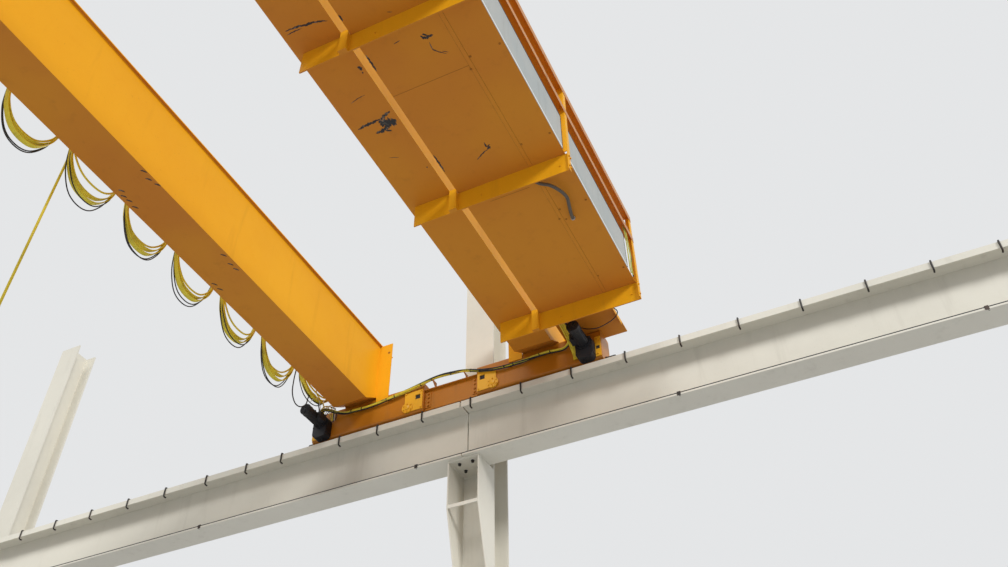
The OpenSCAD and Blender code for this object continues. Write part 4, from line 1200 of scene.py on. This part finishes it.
def tie_fittings():
    """Cleats that join the tie beams to the trucks on both faces, and their bolts."""
    cleats, heads = [], []
    for side in SIDES:
        near, out = sorted(RAIL_Y + side * face for face in CLEAT_FACES)
        for s in SIDES:
            a, b = sorted(crane_x + s * x for x in CLEAT_X)
            cleats.append(block((a, near, CLEAT_LOW), (b, out, CLEAT_TOP)))
            places = rows([(a + b) / 2 - s * 0.008], [RAIL_Y + side * CLEAT_FACES[1]], CLEAT_BOLTS_Z)
            heads.append(bolts(places, 0.024, (0, side, 0)))
    piece("tie_cleats", both_ends(cleats), truck_shaded_paint)
    piece("tie_bolts", both_ends(heads), truck_shaded_paint)


def truck_welds():
    """Weld beads along the bearing plates and beside the girders' seats."""
    beads = []
    for s, seat_x in zip(SIDES, (left_x, right_x)):
        a, b = crane_x + s * plate_in, crane_x + s * plate_out
        beads += [fillet((a, TRUCK_FACE, z), (b, TRUCK_FACE, z), INWARD, way, 0.006)
                  for z, way in ((plate_top, UP), (plate_low, DOWN))]
        for out in SIDES:
            x = seat_x + out * SEAT_HALF
            beads.append(fillet((x, TRUCK_FACE + 0.02, truck_top), (x, RAIL_Y + 0.11, truck_top),
                                (out, 0, 0), UP, 0.007))
    piece("truck_welds", both_ends(beads), truck_shaded_paint, crease=60)


bearing_fittings()
tie_fittings()
truck_welds()


# Drives: x from the outer wheel's axle, y from the carriage's face, z from the axle

MOTOR_Z = 0.09
GEAR_Y = -0.120
FAN_Y = -0.460


def gear_fittings():
    """Cover bolts, side ribs, plugs and the motor's flange of a gear unit."""
    cover = [(-0.08, -0.09), (0.08, -0.09), (-0.08, 0.15), (0.08, 0.15), (0.088, 0.03), (-0.088, 0.03)]
    shapes = [bolts([(x, GEAR_Y, z) for x, z in cover], 0.016, INWARD)]
    shapes.append(bolts([(x, GEAR_Y - 0.016, MOTOR_Z + z) for x, z in circle(0.079, 8, 0.39)], 0.011, INWARD))
    flange = revolved([(0.070, 0), (0.076, 0.004), (0.076, 0.012), (0.070, 0.016)], 36)
    shapes.append(at_each(flange, [(0, GEAR_Y, MOTOR_Z)], INWARD))
    shapes += [block((x - 0.003, -0.112, -0.06), (x + 0.003, -0.010, 0.12), 0.001) for x in (-0.1045, 0.1045)]
    shapes += [block((x, y - 0.003, -0.05), (x + 0.0075, y + 0.003, 0.11), 0.001)
               for x in (-0.1075, 0.1000) for y in (-0.03, -0.06, -0.09)]
    head, faces = bolt(0.022)
    plug = joined([(head, faces), (head * [0.6, 0.6, 1] + [0, 0, 0.012], faces)])
    shapes += [at_each(plug, [(0.02, -0.06, 0.180)], UP), at_each(plug, [(-0.02, -0.06, -0.120)], DOWN)]
    return shapes


def motor_fittings():
    """Fan grille, end shield lips, eye, terminal box lid and glands of a motor."""
    shapes = [hoop(r, FAN_Y - 0.003, MOTOR_Z, 0.0016, 49, 6)
              for r in (0.012, 0.021, 0.030, 0.039, 0.048, 0.057, 0.066)]
    y = FAN_Y - 0.004
    shapes += [tube(np.linspace((0, y, MOTOR_Z), (x, y, MOTOR_Z + z), 5), 0.0020, 6, (0, 1, 0))
               for x, z in circle(0.070, 8)]
    hub = revolved([(0.013, 0), (0.013, 0.005), (0.008, 0.008)], 20)
    lip = revolved([(0.0755, 0), (0.0768, 0.002), (0.0768, 0.012), (0.0755, 0.014)], 40)
    gland = revolved([(0.017, 0), (0.017, 0.012), (0.014, 0.014), (0.014, 0.020)], 16)
    shapes.append(at_each(hub, [(0, FAN_Y, MOTOR_Z)], INWARD))
    shapes.append(at_each(lip, [(0, FAN_Y + 0.016, MOTOR_Z), (0, FAN_Y + 0.069, MOTOR_Z)], INWARD))
    shapes.append(at_each(gland, [(-0.075, -0.281, MOTOR_Z), (-0.09, -0.281, 0.055)], INWARD))
    shapes.append(hoop(0.016, -0.26, MOTOR_Z + 0.093, 0.0045, 25, 8))
    shapes.append(block((-0.111, -0.281, 0.038), (-0.1052, -0.169, 0.142), 0.001))
    shapes.append(bolts(rows([-0.111], [-0.274, -0.176], [0.045, 0.135]), 0.008, (-1, 0, 0)))
    return shapes


def drives():
    """One drive's fittings, copied to all four corners, and the noses of the buffers."""
    for name, shapes in (("gear_fittings", gear_fittings()), ("motor_grilles", motor_fittings())):
        right = joined(shapes)
        pair = [(points + [crane_x + x, TRUCK_FACE, axle_z], faces)
                for (points, faces), x in ((right, WHEELS[-1]), (mirrored(right, 0), WHEELS[0]))]
        piece(name, both_ends(pair), drive_paint)
    nose = revolved([(0.030, 0.0), (0.030, 0.0008), (0.0, 0.0009)], 24)
    noses = [at_each(nose, [(crane_x + s * 2.12, RAIL_Y, axle_z - 0.05)], (s, 0, 0)) for s in SIDES]
    piece("buffer_noses", both_ends(noses), black_rubber_and_shade)


drives()


# Festoon track and pendant station

def festoon_fittings():
    """Bolts and bumpers of the carriers, and clamps, bolts and end caps of the track."""
    y = FESTOON_Y0 - FESTOON_PITCH * np.arange(CARRIERS)
    heads = [bolts(rows([TRACK_X + s * 0.039], y + dy, [CARRIER_Z + 0.085]), 0.013, (s, 0, 0))
             for s in SIDES for dy in (-0.013, 0.013)]
    heads += [bolts(rows([TRACK_X], y + dy, [CARRIER_Z + 0.1093]), 0.014, UP, reach=0.004)
              for dy in (-0.014, 0.014)]
    piece("carrier_bolts", heads, dark_bolt)
    bumper = revolved([(0.012, 0), (0.012, 0.012), (0.008, 0.016)], 14)
    bumpers = [at_each(bumper, rows([TRACK_X], y + s * 0.0225, [CARRIER_Z + 0.125]), (0, s, 0))
               for s in SIDES]
    piece("carrier_bumpers", bumpers, black_rubber_and_shade)

    low = span_of("festoon_track", 2)[0]
    top = low + 0.040
    y = -walk_end + BAY * np.arange(BAYS + 1) + 0.03
    clamps = [block((TRACK_X + x, v - 0.02, low + 0.012), (TRACK_X + x + 0.0075, v + 0.02, top + over))
              for x, over in ((-0.028, 0.016), (0.0205, -0.001)) for v in y]
    piece("track_clamps", clamps, galvanised)
    nuts = [bolts(rows([TRACK_X - 0.028], y, [low + 0.026]), 0.013, (-1, 0, 0)),
            bolts(rows([TRACK_X + 0.06, left_x - WEB_OUT - 0.03], y, [top + 0.008]), 0.014, UP)]
    piece("track_bolts", nuts, dark_bolt)
    near, far = span_of("festoon_track", 1)
    caps = [block((TRACK_X - 0.024, a, low - 0.004), (TRACK_X + 0.024, b, low + 0.044))
            for a, b in ((far + HAIR, far + 0.006), (near - 0.006, near - HAIR))]
    piece("track_end_caps", caps, galvanised)


BUTTON_Z = 1.045 + 0.052 * np.arange(5)
STOP_Z = 1.318


def station_fittings():
    """Push buttons in two rows with a red stop button above, their collars, the boot and screws."""
    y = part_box("pendant_station")[0][1]
    collar = revolved([(0.0155, 0), (0.0155, 0.003), (0.013, 0.0045)], 24)
    cap = revolved([(0.0115, 0.003), (0.0115, 0.010), (0.0095, 0.0125), (0.0, 0.0130)], 24)
    places = [(PENDANT_X + s * 0.020, y, z) for z in BUTTON_Z for s in SIDES]
    piece("button_collars", at_each(collar, places, INWARD), button_black)
    piece("push_buttons", at_each(cap, places[:-2], INWARD), button_white)
    piece("start_buttons", at_each(cap, places[-2:], INWARD), button_black)
    stop = revolved([(0.012, 0), (0.012, 0.008), (0.021, 0.012), (0.022, 0.018), (0.017, 0.024),
                     (0.0, 0.0265)], 28)
    piece("stop_button", at_each(stop, [(PENDANT_X, y, STOP_Z)], INWARD),
          button_red)
    boot = revolved([(0.026, 0), (0.024, 0.008), (0.026, 0.012), (0.022, 0.020), (0.024, 0.024),
                     (0.019, 0.034), (0.021, 0.038), (0.015, 0.052)], 24)
    piece("station_boot", at_each(boot, [(PENDANT_X, PENDANT_Y, STATION_TOP + 0.0005)]),
          black_rubber_and_shade)
    screws = bolts(rows([PENDANT_X - 0.036, PENDANT_X + 0.036], [y], [1.012, 1.345]), 0.006, INWARD)
    piece("station_screws", screws, dark_bolt)


festoon_fittings()
station_fittings()


# Light and background

PALE = (0.78, 0.79, 0.80)
# Each lamp: name, the way it shines, strength, and its spread in degrees
LAMPS = (("key_light", (-0.74, 0.52, -0.42), 2.1, 16),
         ("end_light", (-0.08, 0.80, -0.58), 0.9, 20),
         ("back_light", (0.50, -0.72, -0.48), 1.1, 30))


def make_world():
    """A plain surround that lights the crane, and a pale one for camera, glossy and
    transmission rays."""
    world = bpy.data.worlds.new("surround")
    bpy.context.scene.world = world
    world.use_nodes = True
    nodes, links = world.node_tree.nodes, world.node_tree.links
    nodes.clear()
    path = nodes.new("ShaderNodeLightPath")
    seen = path.outputs["Is Camera Ray"]
    for kind in ("Is Glossy Ray", "Is Transmission Ray"):
        either = nodes.new("ShaderNodeMath")
        either.operation = "MAXIMUM"
        links.new(seen, either.inputs[0])
        links.new(path.outputs[kind], either.inputs[1])
        seen = either.outputs[0]
    plain, pale = nodes.new("ShaderNodeBackground"), nodes.new("ShaderNodeBackground")
    plain.inputs["Color"].default_value = (0.96, 0.97, 0.98, 1)
    plain.inputs["Strength"].default_value = 0.46
    pale.inputs["Color"].default_value = (*PALE, 1)
    mixed = nodes.new("ShaderNodeMixShader")
    links.new(seen, mixed.inputs[0])
    links.new(plain.outputs[0], mixed.inputs[1])
    links.new(pale.outputs[0], mixed.inputs[2])
    links.new(mixed.outputs[0], nodes.new("ShaderNodeOutputWorld").inputs[0])


def make_lamps():
    """A soft key light from the walkway side, a weaker one along the bridge, and one from behind."""
    for name, way, strength, spread in LAMPS:
        sun = bpy.data.lights.new(name, "SUN")
        sun.energy = strength
        sun.angle = math.radians(spread)
        lamp = bpy.data.objects.new(name, sun)
        lamp.rotation_mode = "QUATERNION"
        lamp.rotation_quaternion = Vector(way).to_track_quat("-Z", "Y")
        bpy.context.scene.collection.objects.link(lamp)


def make_floor():
    """A wide pale floor. It glows a little to the camera only, so that it stays pale."""
    f = Finish("floor_pale")
    seen = f.node("ShaderNodeLightPath", {}, {}, "Is Camera Ray")
    glow = f.node("ShaderNodeEmission", {}, {"Color": PALE, "Strength": 0.15})
    plain = f.node("ShaderNodeBsdfDiffuse", {}, {"Color": (0.60, 0.605, 0.61)})
    none = f.node("ShaderNodeEmission", {}, {"Strength": 0.0})
    lit = f.node("ShaderNodeMixShader", {}, {0: seen, 1: none, 2: glow})
    both = f.node("ShaderNodeAddShader", {}, {0: plain, 1: lit})
    f.feed(f.tree.nodes["Material Output"].inputs["Surface"], both)
    mesh = bpy.data.meshes.new("floor")
    ring = np.c_[circle(260.0, 96), np.full(96, -0.001)]
    mesh.from_pydata(ring.tolist(), [], [list(range(96))])
    mesh.materials.append(f.material)
    floor = bpy.data.objects.new("floor", mesh)
    bpy.context.scene.collection.objects.link(floor)


make_world()
make_lamps()
make_floor()
bpy.context.scene.view_settings.view_transform = "Standard"
